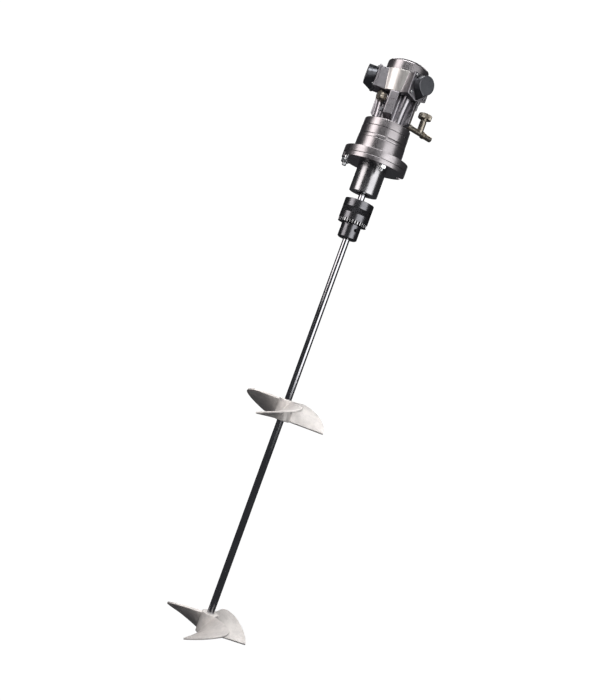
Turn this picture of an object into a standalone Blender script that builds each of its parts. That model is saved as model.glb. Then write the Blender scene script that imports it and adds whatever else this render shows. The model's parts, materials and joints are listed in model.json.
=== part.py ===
"""Air-driven drum mixer: radial-piston air motor, planetary gearbox, drill chuck and two propellers.

The origin is the centre of the mounting flange's underside. +Z runs along the shaft, towards the motor.
A bearing angle is counted from -Y, positive towards +X. Lengths are in metres.
"""

from math import acos, cos, hypot, pi, radians, sin, tan

import bmesh
import bpy
from mathutils import Matrix, Vector

MM = 0.001
GAP = 0.3 * MM
LARGE_STEPS = 32
MEDIUM_STEPS = 20
SMALL_STEPS = 12

# Flanges and gearbox rings
FLANGE_RADIUS = 58 * MM
FLANGE_JOINT_Z = 8 * MM
HOUSING_FLANGE_TOP = 20.5 * MM
STUD_CIRCLE_RADIUS = 51 * MM
STUD_BEARINGS = (17, 197, 287)
STUD_HOLE_BEARINGS = (17, 107, 197, 287)
PLAIN_HOLE_BEARINGS = (17, 197)
NOTCH_BEARINGS = (107, 287)
STUD_RADIUS = 4 * MM
NUT_ACROSS_FLATS = 13 * MM
NUT_HEIGHT = 6.5 * MM
NUT_DROPS = (0, 0, 5 * MM)
STUD_BOTTOM = -12 * MM
STUD_TOP = 18.5 * MM
NOTCH_CLEARANCE = 0.6 * MM
BODY_BORE = 36 * MM
HOUSING_FLOOR_BORE = 20 * MM
HOUSING_FLOOR = 7 * MM
HOUSING_TOP = 42.6 * MM
BEARING_PLATE_TOP = 48.6 * MM
RING_GEAR_TOP = 64 * MM
ADAPTER_TOP = 78 * MM
BODY_RADIUS_LOW = 44 * MM
BODY_RADIUS_HIGH = 42 * MM
BEARING_PLATE_BORE = 35.5 * MM
ADAPTER_FLOOR = 6 * MM
ADAPTER_FLOOR_BORE = 13.3 * MM
EDGE = 0.6 * MM

# Spindle tube and output shaft
TUBE_RADIUS = 25.75 * MM
TUBE_BOTTOM = -50.3 * MM
TUBE_BORE = 17 * MM
SEAL_SEAT_RADIUS = 12.3 * MM
SEAL_SEAT_TOP = -44 * MM
SEAL_RADIUS = 12 * MM
SEAL_SPAN = (-49.8 * MM, -44.8 * MM)
OUTPUT_BEARING_LOWER = (-38 * MM, -28 * MM)
OUTPUT_BEARING_UPPER = (-6 * MM, 4 * MM)
SHAFT_RADIUS = 8 * MM
SHAFT_END_RADIUS = 6 * MM
SHAFT_END = -84 * MM
SHAFT_SHOULDER = (-44.3 * MM, -43.3 * MM)
CARRIER_RADIUS = 27.6 * MM
CARRIER_BOTTOM = 42.5 * MM
CARRIER_TOP = 49 * MM
CARRIER_BEARING_BORE = 28.2 * MM
CARRIER_BEARING_RADIUS = 35.2 * MM
CARRIER_BEARING_SPAN = (43 * MM, 48 * MM)

# Planetary gears
GEAR_MODULE = 1.25 * MM
SUN_TEETH = 18
PLANET_TEETH = 18
RING_TEETH = 54
PLANET_BEARINGS = (90, 210, 330)
ORBIT_RADIUS = (SUN_TEETH + PLANET_TEETH) * GEAR_MODULE / 2
GEAR_BOTTOM = 50 * MM
GEAR_TOP = 62 * MM
PIN_RADIUS = 3 * MM
PIN_SEAT = 44 * MM
TOOTH_TIP = 0.8
TOOTH_ROOT = 1.15
TOOTH_HALF_WIDTH = 0.19 * pi
PRESSURE_ANGLE = radians(21)
RING_WALL = 3 * MM

# Crankshaft
CRANK_THROW = 9.5 * MM
WEB_RADIUS = 16 * MM
CRANK_PIN_RADIUS = 4.5 * MM
JOURNAL_RADIUS = 7 * MM
TOP_JOURNAL_RADIUS = 6 * MM
SUN_BORE = 5 * MM
LOWER_WEB = (138 * MM, 142.5 * MM)
UPPER_WEB = (160.5 * MM, 164.5 * MM)
CRANKSHAFT_TOP = 176.4 * MM
CRANK_BEARING_LOWER = (70.5 * MM, 77.4 * MM)
CRANK_BEARING_LOWER_RADIUS = 13 * MM
CRANK_BEARING_UPPER = (169.6 * MM, 176.9 * MM)
CRANK_BEARING_UPPER_RADIUS = 12 * MM
VALVE_RADIUS = 14 * MM
VALVE_SPAN = (90 * MM, 126 * MM)

# Valve housing, the fluted neck between gearbox and motor
NECK_TOP = 130.3 * MM
NECK_CORE_RADIUS = 23 * MM
NECK_BORE = 14.3 * MM
PILASTER_BEARINGS = (-14, 76, 166, 256)
PILASTER_REACH = 36 * MM
PILASTER_HALF_WIDTH = 8.2 * MM
PILASTER_FOOT = (81 * MM, 89.5 * MM)
DUCT_RADIUS = 9 * MM
DUCT_SET_IN = 2 * MM
DUCT_FLARE = 5 * MM
PLUG_BEARING = -53
PLUG_Z = 117 * MM
PLUG_RADIUS = 6 * MM
PLUG_ACROSS_FLATS = 17 * MM
PLUG_BOSS_RADIUS = 9.6 * MM
PLUG_SEAT = 29.7 * MM
PLUG_HEX_END = 40.5 * MM
SCREW_BEARING = -41
SCREW_Z = 96 * MM
SCREW_RADIUS = 2.5 * MM
SCREW_ACROSS_FLATS = 7 * MM
SCREW_BOSS_RADIUS = 5 * MM
SCREW_SEAT = 28.7 * MM
SCREW_HEX_END = 33 * MM
INLET_BOSS_RADIUS = 8.5 * MM
INLET_SEAT = 34 * MM

# Air motor
CYLINDER_BEARINGS = (36, 156, 276)
CYLINDER_Z = 151.5 * MM
CASE_BOTTOM = 130.6 * MM
CASE_TOP = 169 * MM
CASE_RADIUS_LOW = 35 * MM
CASE_RADIUS_HIGH = 39.5 * MM
BLOCK_HALF_WIDTH = 19.8 * MM
BLOCK_TOP_RISE = 16 * MM
BLOCK_SHOULDER_DROP = 21 * MM
BLOCK_POINT_DROP = 27 * MM
BLOCK_INNER = 22 * MM
BLOCK_REACH = 51 * MM
PLATE_INNER = 47.8 * MM
PLATE_LIP = 1.4 * MM
CRANK_ROOM_RADIUS = 20 * MM
CRANK_ROOM_FLOOR = 136 * MM
BORE_RADIUS = 14 * MM
HEAD_RADIUS = 16.4 * MM
HEAD_REACH = 67.3 * MM
HEAD_INNER_DROP = 27.5 * MM
HEAD_OUTER_DROP = 19.5 * MM
HEAD_ROOM_END = 64.2 * MM
COVER_RADIUS = 37.5 * MM
COVER_TOP = 189 * MM
COVER_ROUND = 5 * MM
COVER_POCKET = 8 * MM
PISTON_INNER = 30 * MM
PISTON_LENGTH = 14 * MM
PISTON_CROWN = 4 * MM
PISTON_INNER_RADIUS = 12 * MM
ROD_RADIUS = 3.5 * MM
ROD_HEAD_RADIUS = 7 * MM

# Needle valve and air inlet
INLET_BEARING = 127
INLET_Z = 95.5 * MM
PIPE_RADIUS = 5 * MM
PIPE_BORE = 3 * MM
STEM_REACH = 73 * MM
BONNET_RADIUS = 6 * MM
BONNET_TOP = 118 * MM
HEX_ACROSS_FLATS = 12 * MM
HEX_SPAN = (42 * MM, 50 * MM)
ADAPTER_END = 53 * MM
COLLAR_RADIUS = 6.6 * MM
COLLAR_SPAN = (80 * MM, 84 * MM)
VALVE_BODY_END = 86 * MM
CONNECTOR_RADIUS = 5.4 * MM
CONNECTOR_END = 102 * MM
KNOB_RADIUS = 12.5 * MM
KNOB_BOTTOM = 122 * MM
KNOB_TOP = 131 * MM
KNOB_NECK = 2.5 * MM
KNOB_POCKET = 5 * MM
NEEDLE_RADIUS = 2.3 * MM
NEEDLE_LENGTH = 30 * MM

# Drill chuck
SLEEVE_RADIUS = 26.5 * MM
SLEEVE_TOP = -65.3 * MM
SLEEVE_BOTTOM = -107.5 * MM
BAND_TOP = -79.7 * MM
BAND_BOTTOM = -89.2 * MM
CHUCK_CORE_RADIUS = 23 * MM
NOSE_RADIUS = 17.75 * MM
NOSE_BOTTOM = -134.5 * MM
KEY_HOLE_BEARING = 31
KEY_HOLE_Z = -117 * MM
KEY_HOLE_RADIUS = 3 * MM
KEY_HOLE_FLOOR = 12.5 * MM
JAW_RADIUS = 3.2 * MM
JAW_SLOPE = radians(15)
JAW_BEARINGS = (91, 211, 331)
JAW_FOOT_OFFSET = 9 * MM
JAW_FOOT_Z = -130 * MM
JAW_LENGTH = 37 * MM
JAW_OVERRUN = 8 * MM

# Mixing shaft and propellers
MIXING_SHAFT_RADIUS = 6.35 * MM
MIXING_SHAFT_TOP = -85 * MM
MIXING_SHAFT_BOTTOM = -873.5 * MM
HUB_RADIUS = 15 * MM
HUB_HEIGHT = 38 * MM
UPPER_HUB_TOP = -435 * MM
LOWER_HUB_TOP = -833.5 * MM
UPPER_LEAD_BEARING = -34.5
LOWER_LEAD_BEARING = -21.2
BLADE_REACH = 79 * MM
BLADE_SPAN = radians(63)
BLADE_RISE = 34 * MM
BLADE_THICKNESS = 3.4 * MM
BLADE_CORNER = 28 * MM
SET_SCREW_RADIUS = 3 * MM
SET_SCREW_TURN = 95
SET_SCREW_END = 14.4 * MM


def clear_scene():
    for item in list(bpy.data.objects):
        bpy.data.objects.remove(item)


def finish(name, colour, roughness, metallic):
    """Return a new Principled material."""
    material = bpy.data.materials.new(name)
    material.use_nodes = True
    shader = material.node_tree.nodes["Principled BSDF"]
    shader.inputs["Base Color"].default_value = (*colour, 1)
    shader.inputs["Roughness"].default_value = roughness
    shader.inputs["Metallic"].default_value = metallic
    return material


def gunmetal(name):
    return finish(name, (0.22, 0.21, 0.23), 0.3, 1)


def steel(name):
    return finish(name, (0.6, 0.6, 0.61), 0.2, 1)


def black_oxide(name):
    return finish(name, (0.07, 0.07, 0.08), 0.3, 1)


def nickel_brass(name):
    return finish(name, (0.55, 0.5, 0.4), 0.3, 1)


def cast_metal(name):
    return finish(name, (0.75, 0.76, 0.74), 0.4, 1)


def dark_rubber(name):
    return finish(name, (0.03, 0.03, 0.03), 0.7, 0)


def direction(bearing):
    """Return the horizontal unit vector of a bearing angle in degrees."""
    angle = radians(bearing)
    return Vector((sin(angle), -cos(angle), 0))


def facing(bearing):
    """Return the turn about Z that points local +X along a bearing angle."""
    return Matrix.Rotation(radians(bearing - 90), 4, "Z")


def radial(bearing, z):
    """Return the placing that runs local +Z outwards along a bearing and local +X downwards."""
    return Matrix.Translation((0, 0, z)) @ facing(bearing) @ Matrix.Rotation(pi / 2, 4, "Y")


def add_object(name, bm, material=None, sharp_angle=radians(35)):
    """Turn a bmesh into a shaded object."""
    bmesh.ops.recalc_face_normals(bm, faces=bm.faces)
    mesh = bpy.data.meshes.new(name)
    bm.to_mesh(mesh)
    bm.free()
    mesh.shade_smooth()
    mesh.set_sharp_from_angle(angle=sharp_angle)
    item = bpy.data.objects.new(name, mesh)
    bpy.context.collection.objects.link(item)
    if material:
        mesh.materials.append(material)
    return item


def ring_of_points(bm, radius, z, steps, offset=0.0, first=0.0):
    """Add one level circle of points, or a single point where the radius is zero."""
    if radius == 0:
        return [bm.verts.new((offset, 0, z))]
    angles = [first + 2 * pi * step / steps for step in range(steps)]
    return [bm.verts.new((offset + radius * cos(a), radius * sin(a), z)) for a in angles]


def join_rings(bm, lower, upper):
    """Fill the band between two rings, either of which may be a single point."""
    count = max(len(lower), len(upper))
    for step in range(count):
        after = (step + 1) % count
        corners = [lower[step % len(lower)], lower[after % len(lower)]]
        corners += [upper[after % len(upper)], upper[step % len(upper)]]
        bm.faces.new(list(dict.fromkeys(corners)))


def turned_mesh(profile, steps, first=0.0):
    """Turn a profile of (radius, z) about Z. It closes on the axis, or on itself as a tube."""
    bm = bmesh.new()
    rings = [ring_of_points(bm, radius, z, steps, first=first) for radius, z in profile]
    for lower, upper in zip(rings, rings[1:]):
        join_rings(bm, lower, upper)
    if profile[0][0] > 0:
        join_rings(bm, rings[-1], rings[0])
    return bm


def turned(name, profile, steps, material=None, placing=Matrix()):
    bm = turned_mesh(profile, steps)
    bm.transform(placing)
    return add_object(name, bm, material)


def rod_mesh(radius, low, high, steps, chamfer=0.0, first=0.0):
    """A solid round bar along Z with optional chamfers."""
    profile = [(0, low), (radius - chamfer, low), (radius, low + chamfer)]
    profile += [(radius, high - chamfer), (radius - chamfer, high), (0, high)]
    if chamfer == 0:
        profile = [(0, low), (radius, low), (radius, high), (0, high)]
    return turned_mesh(profile, steps, first)


def rod(name, radius, low, high, steps, material=None, placing=Matrix(), chamfer=0.0):
    bm = rod_mesh(radius, low, high, steps, chamfer)
    bm.transform(placing)
    return add_object(name, bm, material)


def bearing_ring(name, inner, outer, low, high):
    profile = [(inner, low), (outer, low), (outer, high), (inner, high)]
    return turned(name, profile, MEDIUM_STEPS, steel(name))


def prism_mesh(outline, low, high):
    """Extrude an (x, y) outline from low to high along Z."""
    bm = bmesh.new()
    rings = [[bm.verts.new((x, y, z)) for x, y in outline] for z in (low, high)]
    join_rings(bm, rings[0], rings[1])
    bm.faces.new(rings[0])
    bm.faces.new(rings[1])
    return bm


def merge(target, source):
    """Move a bmesh's faces into another bmesh."""
    mesh = bpy.data.meshes.new("merge")
    source.to_mesh(mesh)
    source.free()
    target.from_mesh(mesh)
    bpy.data.meshes.remove(mesh)


def tool(name, pieces, placings):
    """Make a hidden Boolean tool out of separate closed meshes."""
    bm = bmesh.new()
    for piece, placing in zip(pieces, placings):
        piece.transform(placing)
        merge(bm, piece)
    item = add_object(name, bm)
    item.hide_render = True
    item.display_type = "WIRE"
    return item


def combine(target, helper, operation):
    modifier = target.modifiers.new(helper.name, "BOOLEAN")
    modifier.operation = operation
    modifier.object = helper
    modifier.solver = "EXACT"


def cut(target, helper):
    combine(target, helper, "DIFFERENCE")


def hex_with_round_ends(name, across_flats, low, high, tails, material, placing):
    """A hexagon with a round tail below and above. Each tail is (radius, end)."""
    corner = across_flats / 2 / cos(pi / 6)
    bm = bmesh.new()
    rings = [ring_of_points(bm, 0, tails[0][1], SMALL_STEPS)]
    rings.append(ring_of_points(bm, tails[0][0], tails[0][1], SMALL_STEPS))
    rings.append(ring_of_points(bm, tails[0][0], low, SMALL_STEPS))
    for z in (low, high):
        ring = []
        for step in range(SMALL_STEPS):
            reach = corner if step % 2 == 0 else across_flats / 2
            angle = 2 * pi * step / SMALL_STEPS
            ring.append(bm.verts.new((reach * cos(angle), reach * sin(angle), z)))
        rings.append(ring)
    rings.append(ring_of_points(bm, tails[1][0], high, SMALL_STEPS))
    rings.append(ring_of_points(bm, tails[1][0], tails[1][1], SMALL_STEPS))
    rings.append(ring_of_points(bm, 0, tails[1][1], SMALL_STEPS))
    for lower, upper in zip(rings, rings[1:]):
        join_rings(bm, lower, upper)
    bm.transform(placing)
    return add_object(name, bm, material)


# Gearbox


def add_spindle_flange():
    bottom = TUBE_BOTTOM
    profile = [(SEAL_SEAT_RADIUS, bottom), (TUBE_RADIUS - EDGE, bottom), (TUBE_RADIUS, bottom + EDGE)]
    profile += [(TUBE_RADIUS, 0), (FLANGE_RADIUS - EDGE, 0), (FLANGE_RADIUS, EDGE)]
    profile += [(FLANGE_RADIUS, FLANGE_JOINT_Z), (TUBE_BORE, FLANGE_JOINT_Z)]
    profile += [(TUBE_BORE, SEAL_SEAT_TOP), (SEAL_SEAT_RADIUS, SEAL_SEAT_TOP)]
    flange = turned("spindle_flange", profile, LARGE_STEPS, gunmetal("spindle_flange"))
    cut(flange, tool("flange_notches", [notch_mesh() for _ in NOTCH_BEARINGS], map(facing, NOTCH_BEARINGS)))
    holes = [rod_mesh(STUD_RADIUS + NOTCH_CLEARANCE, -MM, FLANGE_JOINT_Z + MM, SMALL_STEPS)
             for _ in PLAIN_HOLE_BEARINGS]
    cut(flange, tool("flange_holes", holes, map(stud_place, PLAIN_HOLE_BEARINGS)))


def notch_mesh():
    """An open slot from the stud's seat out past the rim."""
    half = STUD_RADIUS + NOTCH_CLEARANCE
    arc = [pi / 2 + pi * step / 6 for step in range(7)]
    outline = [(STUD_CIRCLE_RADIUS + half * cos(a), half * sin(a)) for a in arc]
    outline += [(FLANGE_RADIUS + 2 * MM, -half), (FLANGE_RADIUS + 2 * MM, half)]
    return prism_mesh(outline, -MM, FLANGE_JOINT_Z + MM)


def stud_place(bearing):
    return Matrix.Translation(direction(bearing) * STUD_CIRCLE_RADIUS)


def add_gear_housing():
    low = FLANGE_JOINT_Z + GAP
    high = HOUSING_TOP - GAP
    top_radius = BODY_RADIUS_LOW - 0.5 * MM
    profile = [(HOUSING_FLOOR_BORE, low), (FLANGE_RADIUS - EDGE, low), (FLANGE_RADIUS, low + EDGE)]
    profile += [(FLANGE_RADIUS, HOUSING_FLANGE_TOP - EDGE), (FLANGE_RADIUS - EDGE, HOUSING_FLANGE_TOP)]
    profile += [(BODY_RADIUS_LOW, HOUSING_FLANGE_TOP), (top_radius, high - EDGE), (top_radius - EDGE, high)]
    floor = low + HOUSING_FLOOR
    profile += [(BODY_BORE, high), (BODY_BORE, floor), (HOUSING_FLOOR_BORE, floor)]
    housing = turned("gear_housing", profile, LARGE_STEPS, gunmetal("gear_housing"))
    holes = [rod_mesh(STUD_RADIUS + GAP, 0, STUD_TOP + GAP, SMALL_STEPS) for _ in STUD_HOLE_BEARINGS]
    cut(housing, tool("stud_holes", holes, map(stud_place, STUD_HOLE_BEARINGS)))


def add_studs_and_nuts():
    """The last stud stands in an open notch, and its nut is backed off."""
    for number, (bearing, drop) in enumerate(zip(STUD_BEARINGS, NUT_DROPS), 1):
        name = f"flange_bolt_{number}"
        place = stud_place(bearing)
        rod(name, STUD_RADIUS, STUD_BOTTOM - drop, STUD_TOP, SMALL_STEPS, steel(name), place, chamfer=MM)
        add_nut(f"flange_nut_{number}", place @ Matrix.Rotation(radians(bearing), 4, "Z"), -GAP - drop)


def add_nut(name, place, high):
    """A hexagon nut with a round hole, under the flange."""
    low = high - NUT_HEIGHT
    bm = bmesh.new()
    corner = NUT_ACROSS_FLATS / 2 / cos(pi / 6)
    rings = []
    for z in (low, high):
        ring = []
        for step in range(SMALL_STEPS):
            reach = corner if step % 2 == 0 else NUT_ACROSS_FLATS / 2
            ring.append(bm.verts.new((reach * cos(pi * step / 6), reach * sin(pi * step / 6), z)))
        rings.append(ring)
    for z in (high, low):
        rings.append(ring_of_points(bm, STUD_RADIUS + GAP, z, SMALL_STEPS))
    for lower, upper in zip(rings, rings[1:] + rings[:1]):
        join_rings(bm, lower, upper)
    bm.transform(place)
    add_object(name, bm, steel(name))


def add_plain_ring(name, low, high, inner, radius_low, radius_high):
    """One ring of the body, with small chamfers that make the groove at its joint."""
    profile = [(inner, low), (radius_low - EDGE, low), (radius_low, low + EDGE)]
    profile += [(radius_high, high - EDGE), (radius_high - EDGE, high), (inner, high)]
    return turned(name, profile, LARGE_STEPS, gunmetal(name))


def add_adapter_ring():
    low = RING_GEAR_TOP
    high = ADAPTER_TOP - GAP
    radius = BODY_RADIUS_HIGH
    foot_radius = radius + 0.3 * MM
    profile = [(BODY_BORE, low), (foot_radius - EDGE, low), (foot_radius, low + EDGE)]
    profile += [(radius, high - EDGE), (radius - EDGE, high), (ADAPTER_FLOOR_BORE, high)]
    profile += [(ADAPTER_FLOOR_BORE, low + ADAPTER_FLOOR), (BODY_BORE, low + ADAPTER_FLOOR)]
    turned("motor_adapter_ring", profile, LARGE_STEPS, gunmetal("motor_adapter_ring"))


def tooth_outline(teeth, outward, first):
    """The outline of straight-flanked teeth with backlash. first is the angle of a tooth's centre."""
    pitch_radius = teeth * GEAR_MODULE / 2
    tip = pitch_radius + outward * TOOTH_TIP * GEAR_MODULE
    root = pitch_radius - outward * TOOTH_ROOT * GEAR_MODULE
    slope = tan(PRESSURE_ANGLE)
    half_tip = (TOOTH_HALF_WIDTH - TOOTH_TIP * slope) * GEAR_MODULE
    half_root = (TOOTH_HALF_WIDTH + TOOTH_ROOT * slope) * GEAR_MODULE
    outline = []
    for number in range(teeth):
        centre = first + 2 * pi * number / teeth
        for radius, half in ((root, -half_root), (tip, -half_tip), (tip, half_tip), (root, half_root)):
            angle = centre + half / radius
            outline.append((radius * cos(angle), radius * sin(angle)))
    return outline


def annular_prism(outer, inner, low, high):
    """A prism between two outlines with the same number of points, starting at the same angle."""
    bm = bmesh.new()
    rings = [[bm.verts.new((x, y, z)) for x, y in line] for line, z in
             ((outer, low), (outer, high), (inner, high), (inner, low))]
    for lower, upper in zip(rings, rings[1:] + rings[:1]):
        join_rings(bm, lower, upper)
    return bm


def circle_like(outline, radius):
    """Project an outline's points onto a circle."""
    return [(x * radius / hypot(x, y), y * radius / hypot(x, y)) for x, y in outline]


def first_mesh_angle():
    return radians(PLANET_BEARINGS[0] - 90)


def add_ring_gear():
    radius = BODY_RADIUS_HIGH + 0.6 * MM
    low = BEARING_PLATE_TOP
    high = RING_GEAR_TOP - GAP
    bore = RING_TEETH * GEAR_MODULE / 2 - RING_WALL
    ring = add_plain_ring("ring_gear", low, high, bore, radius, radius)
    teeth = tooth_outline(RING_TEETH, -1, first_mesh_angle())
    cut(ring, tool("ring_teeth", [prism_mesh(teeth, low - MM, high + MM)], [Matrix()]))


def add_sun_gear():
    teeth = tooth_outline(SUN_TEETH, 1, first_mesh_angle())
    bm = annular_prism(teeth, circle_like(teeth, SUN_BORE), GEAR_BOTTOM, GEAR_TOP)
    add_object("sun_gear", bm, steel("sun_gear"))


def add_planets():
    for number, bearing in enumerate(PLANET_BEARINGS, 1):
        place = direction(bearing) * ORBIT_RADIUS
        half_pitch = pi / PLANET_TEETH
        teeth = tooth_outline(PLANET_TEETH, 1, radians(bearing - 90) + half_pitch)
        bore = circle_like(teeth, PIN_RADIUS + GAP)
        gear = add_object(f"planet_gear_{number}", annular_prism(teeth, bore, GEAR_BOTTOM, GEAR_TOP),
                          steel(f"planet_gear_{number}"))
        gear.location = place
        pin = rod(f"planet_pin_{number}", PIN_RADIUS, PIN_SEAT + GAP, GEAR_TOP + MM,
                  SMALL_STEPS, steel(f"planet_pin_{number}"))
        pin.location = place


def add_output_shaft():
    profile = [(0, SHAFT_END), (SHAFT_END_RADIUS, SHAFT_END), (SHAFT_END_RADIUS, SHAFT_SHOULDER[0])]
    profile += [(SHAFT_RADIUS, SHAFT_SHOULDER[1]), (SHAFT_RADIUS, CARRIER_BOTTOM)]
    profile += [(CARRIER_RADIUS, CARRIER_BOTTOM), (CARRIER_RADIUS, CARRIER_TOP), (0, CARRIER_TOP)]
    shaft = turned("output_shaft", profile, MEDIUM_STEPS, steel("output_shaft"))
    holes = [rod_mesh(PIN_RADIUS + GAP, PIN_SEAT, CARRIER_TOP + MM, SMALL_STEPS)
             for _ in PLANET_BEARINGS]
    places = [Matrix.Translation(direction(bearing) * ORBIT_RADIUS) for bearing in PLANET_BEARINGS]
    cut(shaft, tool("pin_holes", holes, places))


def add_gearbox():
    add_spindle_flange()
    add_gear_housing()
    add_studs_and_nuts()
    add_plain_ring("bearing_plate", HOUSING_TOP, BEARING_PLATE_TOP - GAP, BEARING_PLATE_BORE,
                   BODY_RADIUS_HIGH + 1.2 * MM, BODY_RADIUS_HIGH + MM)
    add_ring_gear()
    add_adapter_ring()
    add_output_shaft()
    add_sun_gear()
    add_planets()
    bearing_ring("carrier_bearing", CARRIER_BEARING_BORE, CARRIER_BEARING_RADIUS, *CARRIER_BEARING_SPAN)
    bearing_ring("output_bearing_lower", SHAFT_RADIUS + GAP, TUBE_BORE - GAP, *OUTPUT_BEARING_LOWER)
    bearing_ring("output_bearing_upper", SHAFT_RADIUS + GAP, TUBE_BORE - GAP, *OUTPUT_BEARING_UPPER)
    low, high = SEAL_SPAN
    lip = SHAFT_END_RADIUS + GAP
    seal = [(lip, low), (SEAL_RADIUS, low), (SEAL_RADIUS, high), (lip, high)]
    turned("shaft_seal", seal, MEDIUM_STEPS, dark_rubber("shaft_seal"))


# Air motor


def add_crankshaft():
    """The shaft from the sun gear up to the crank, made as one stack of round steps."""
    steps = [(GEAR_BOTTOM - 0.5 * MM, GEAR_TOP + MM, SUN_BORE - GAP, 0)]
    steps.append((GEAR_TOP + MM, LOWER_WEB[0], JOURNAL_RADIUS, 0))
    steps.append((*LOWER_WEB, WEB_RADIUS, 0))
    steps.append((LOWER_WEB[1], UPPER_WEB[0], CRANK_PIN_RADIUS, CRANK_THROW))
    steps.append((*UPPER_WEB, WEB_RADIUS, 0))
    steps.append((UPPER_WEB[1], CRANKSHAFT_TOP, TOP_JOURNAL_RADIUS, 0))
    levels = [(z, radius, offset) for low, high, radius, offset in steps for z in (low, high)]
    bm = bmesh.new()
    rings = [ring_of_points(bm, 0, levels[0][0], MEDIUM_STEPS)]
    rings += [ring_of_points(bm, radius, z, MEDIUM_STEPS, offset) for z, radius, offset in levels]
    rings.append(ring_of_points(bm, 0, levels[-1][0], MEDIUM_STEPS))
    for lower, upper in zip(rings, rings[1:]):
        join_rings(bm, lower, upper)
    add_object("crankshaft", bm, steel("crankshaft"))


def neck_radius(bearing, z):
    """Outer radius of the fluted neck: core, four pilasters with sloped feet and three flared air ducts."""
    reach = NECK_CORE_RADIUS
    for pilaster in PILASTER_BEARINGS:
        turn = radians(bearing - pilaster)
        if cos(turn) > 0.5:
            side = PILASTER_HALF_WIDTH / max(abs(sin(turn)), 1e-6)
            foot = min(1, max(0, (z - PILASTER_FOOT[0]) / (PILASTER_FOOT[1] - PILASTER_FOOT[0])))
            front = (NECK_CORE_RADIUS + (PILASTER_REACH - NECK_CORE_RADIUS) * foot) / cos(turn)
            if side > NECK_CORE_RADIUS:
                reach = max(reach, min(side, front))
    height = (z - ADAPTER_TOP) / (NECK_TOP - ADAPTER_TOP)
    for duct in CYLINDER_BEARINGS:
        turn = radians(bearing - duct)
        centre = NECK_CORE_RADIUS + DUCT_FLARE * height ** 2
        across = centre * sin(turn)
        if cos(turn) > 0 and abs(across) < DUCT_RADIUS:
            bulge = (DUCT_RADIUS ** 2 - across ** 2) ** 0.5 - DUCT_SET_IN
            reach = max(reach, centre * cos(turn) + bulge)
    return reach


def add_valve_housing():
    columns = 90
    heights = [ADAPTER_TOP, *PILASTER_FOOT, 104 * MM, 118 * MM, NECK_TOP]
    bm = bmesh.new()
    rings = []
    for z in heights:
        ring = []
        for column in range(columns):
            bearing = 360 * column / columns
            point = direction(bearing) * neck_radius(bearing, z)
            ring.append(bm.verts.new((point.x, point.y, z)))
        rings.append(ring)
    for z in (NECK_TOP, ADAPTER_TOP):
        ring = []
        for column in range(columns):
            point = direction(360 * column / columns) * NECK_BORE
            ring.append(bm.verts.new((point.x, point.y, z)))
        rings.append(ring)
    for lower, upper in zip(rings, rings[1:] + rings[:1]):
        join_rings(bm, lower, upper)
    housing = add_object("valve_housing", bm, gunmetal("valve_housing"))
    root = 19 * MM
    beyond = 40 * MM
    bosses = [rod_mesh(PLUG_BOSS_RADIUS, root, PLUG_SEAT, MEDIUM_STEPS)]
    bosses.append(rod_mesh(SCREW_BOSS_RADIUS, root, SCREW_SEAT, SMALL_STEPS))
    bosses.append(rod_mesh(INLET_BOSS_RADIUS, root, INLET_SEAT, MEDIUM_STEPS))
    places = [radial(PLUG_BEARING, PLUG_Z), radial(SCREW_BEARING, SCREW_Z), radial(INLET_BEARING, INLET_Z)]
    combine(housing, tool("neck_bosses", bosses, places), "UNION")
    holes = [rod_mesh(PLUG_RADIUS + GAP, 17 * MM, beyond, SMALL_STEPS)]
    holes.append(rod_mesh(SCREW_RADIUS + GAP, 21 * MM, beyond, SMALL_STEPS))
    holes.append(rod_mesh(PIPE_RADIUS + GAP, 10 * MM, beyond, SMALL_STEPS))
    cut(housing, tool("neck_holes", holes, places))


def block_outline(lip):
    """Seen along the cylinder: x runs down, y across. A square with a point at the bottom."""
    half = BLOCK_HALF_WIDTH + lip
    top = -BLOCK_TOP_RISE - lip
    shoulder = BLOCK_SHOULDER_DROP + lip
    return [(top, -half), (shoulder, -half), (BLOCK_POINT_DROP + lip, 0), (shoulder, half), (top, half)]


def add_crankcase():
    low = CASE_BOTTOM
    profile = [(0, low), (CASE_RADIUS_LOW - EDGE, low), (CASE_RADIUS_LOW, low + EDGE)]
    profile += [(CASE_RADIUS_HIGH, CASE_TOP), (0, CASE_TOP)]
    case = turned("motor_crankcase", profile, LARGE_STEPS, gunmetal("motor_crankcase"))
    for number, bearing in enumerate(CYLINDER_BEARINGS, 1):
        place = radial(bearing, CYLINDER_Z)
        block = prism_mesh(block_outline(0), BLOCK_INNER, BLOCK_REACH - MM)
        plate = prism_mesh(block_outline(PLATE_LIP), PLATE_INNER, BLOCK_REACH)
        combine(case, tool(f"block_{number}", [block], [place]), "UNION")
        combine(case, tool(f"end_plate_{number}", [plate], [place]), "UNION")
    cavity = rod_mesh(CRANK_ROOM_RADIUS, CRANK_ROOM_FLOOR, CASE_TOP + 7 * MM, MEDIUM_STEPS)
    shaft_hole = rod_mesh(JOURNAL_RADIUS + MM, CASE_BOTTOM - MM, CRANK_ROOM_FLOOR + MM, MEDIUM_STEPS)
    cover_seat = rod_mesh(COVER_RADIUS + GAP, CASE_TOP, CASE_TOP + 11 * MM, LARGE_STEPS)
    cut(case, tool("crank_room", [cavity], [Matrix()]))
    cut(case, tool("shaft_hole", [shaft_hole], [Matrix()]))
    cut(case, tool("cover_seat", [cover_seat], [Matrix()]))
    for number, bearing in enumerate(CYLINDER_BEARINGS, 1):
        bore = rod_mesh(BORE_RADIUS, 12 * MM, BLOCK_REACH + 9 * MM, MEDIUM_STEPS)
        cut(case, tool(f"cylinder_bore_{number}", [bore], [radial(bearing, CYLINDER_Z)]))
    cut(case, tool("neck_clearance", [neck_clearance()], [Matrix()]))


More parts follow.
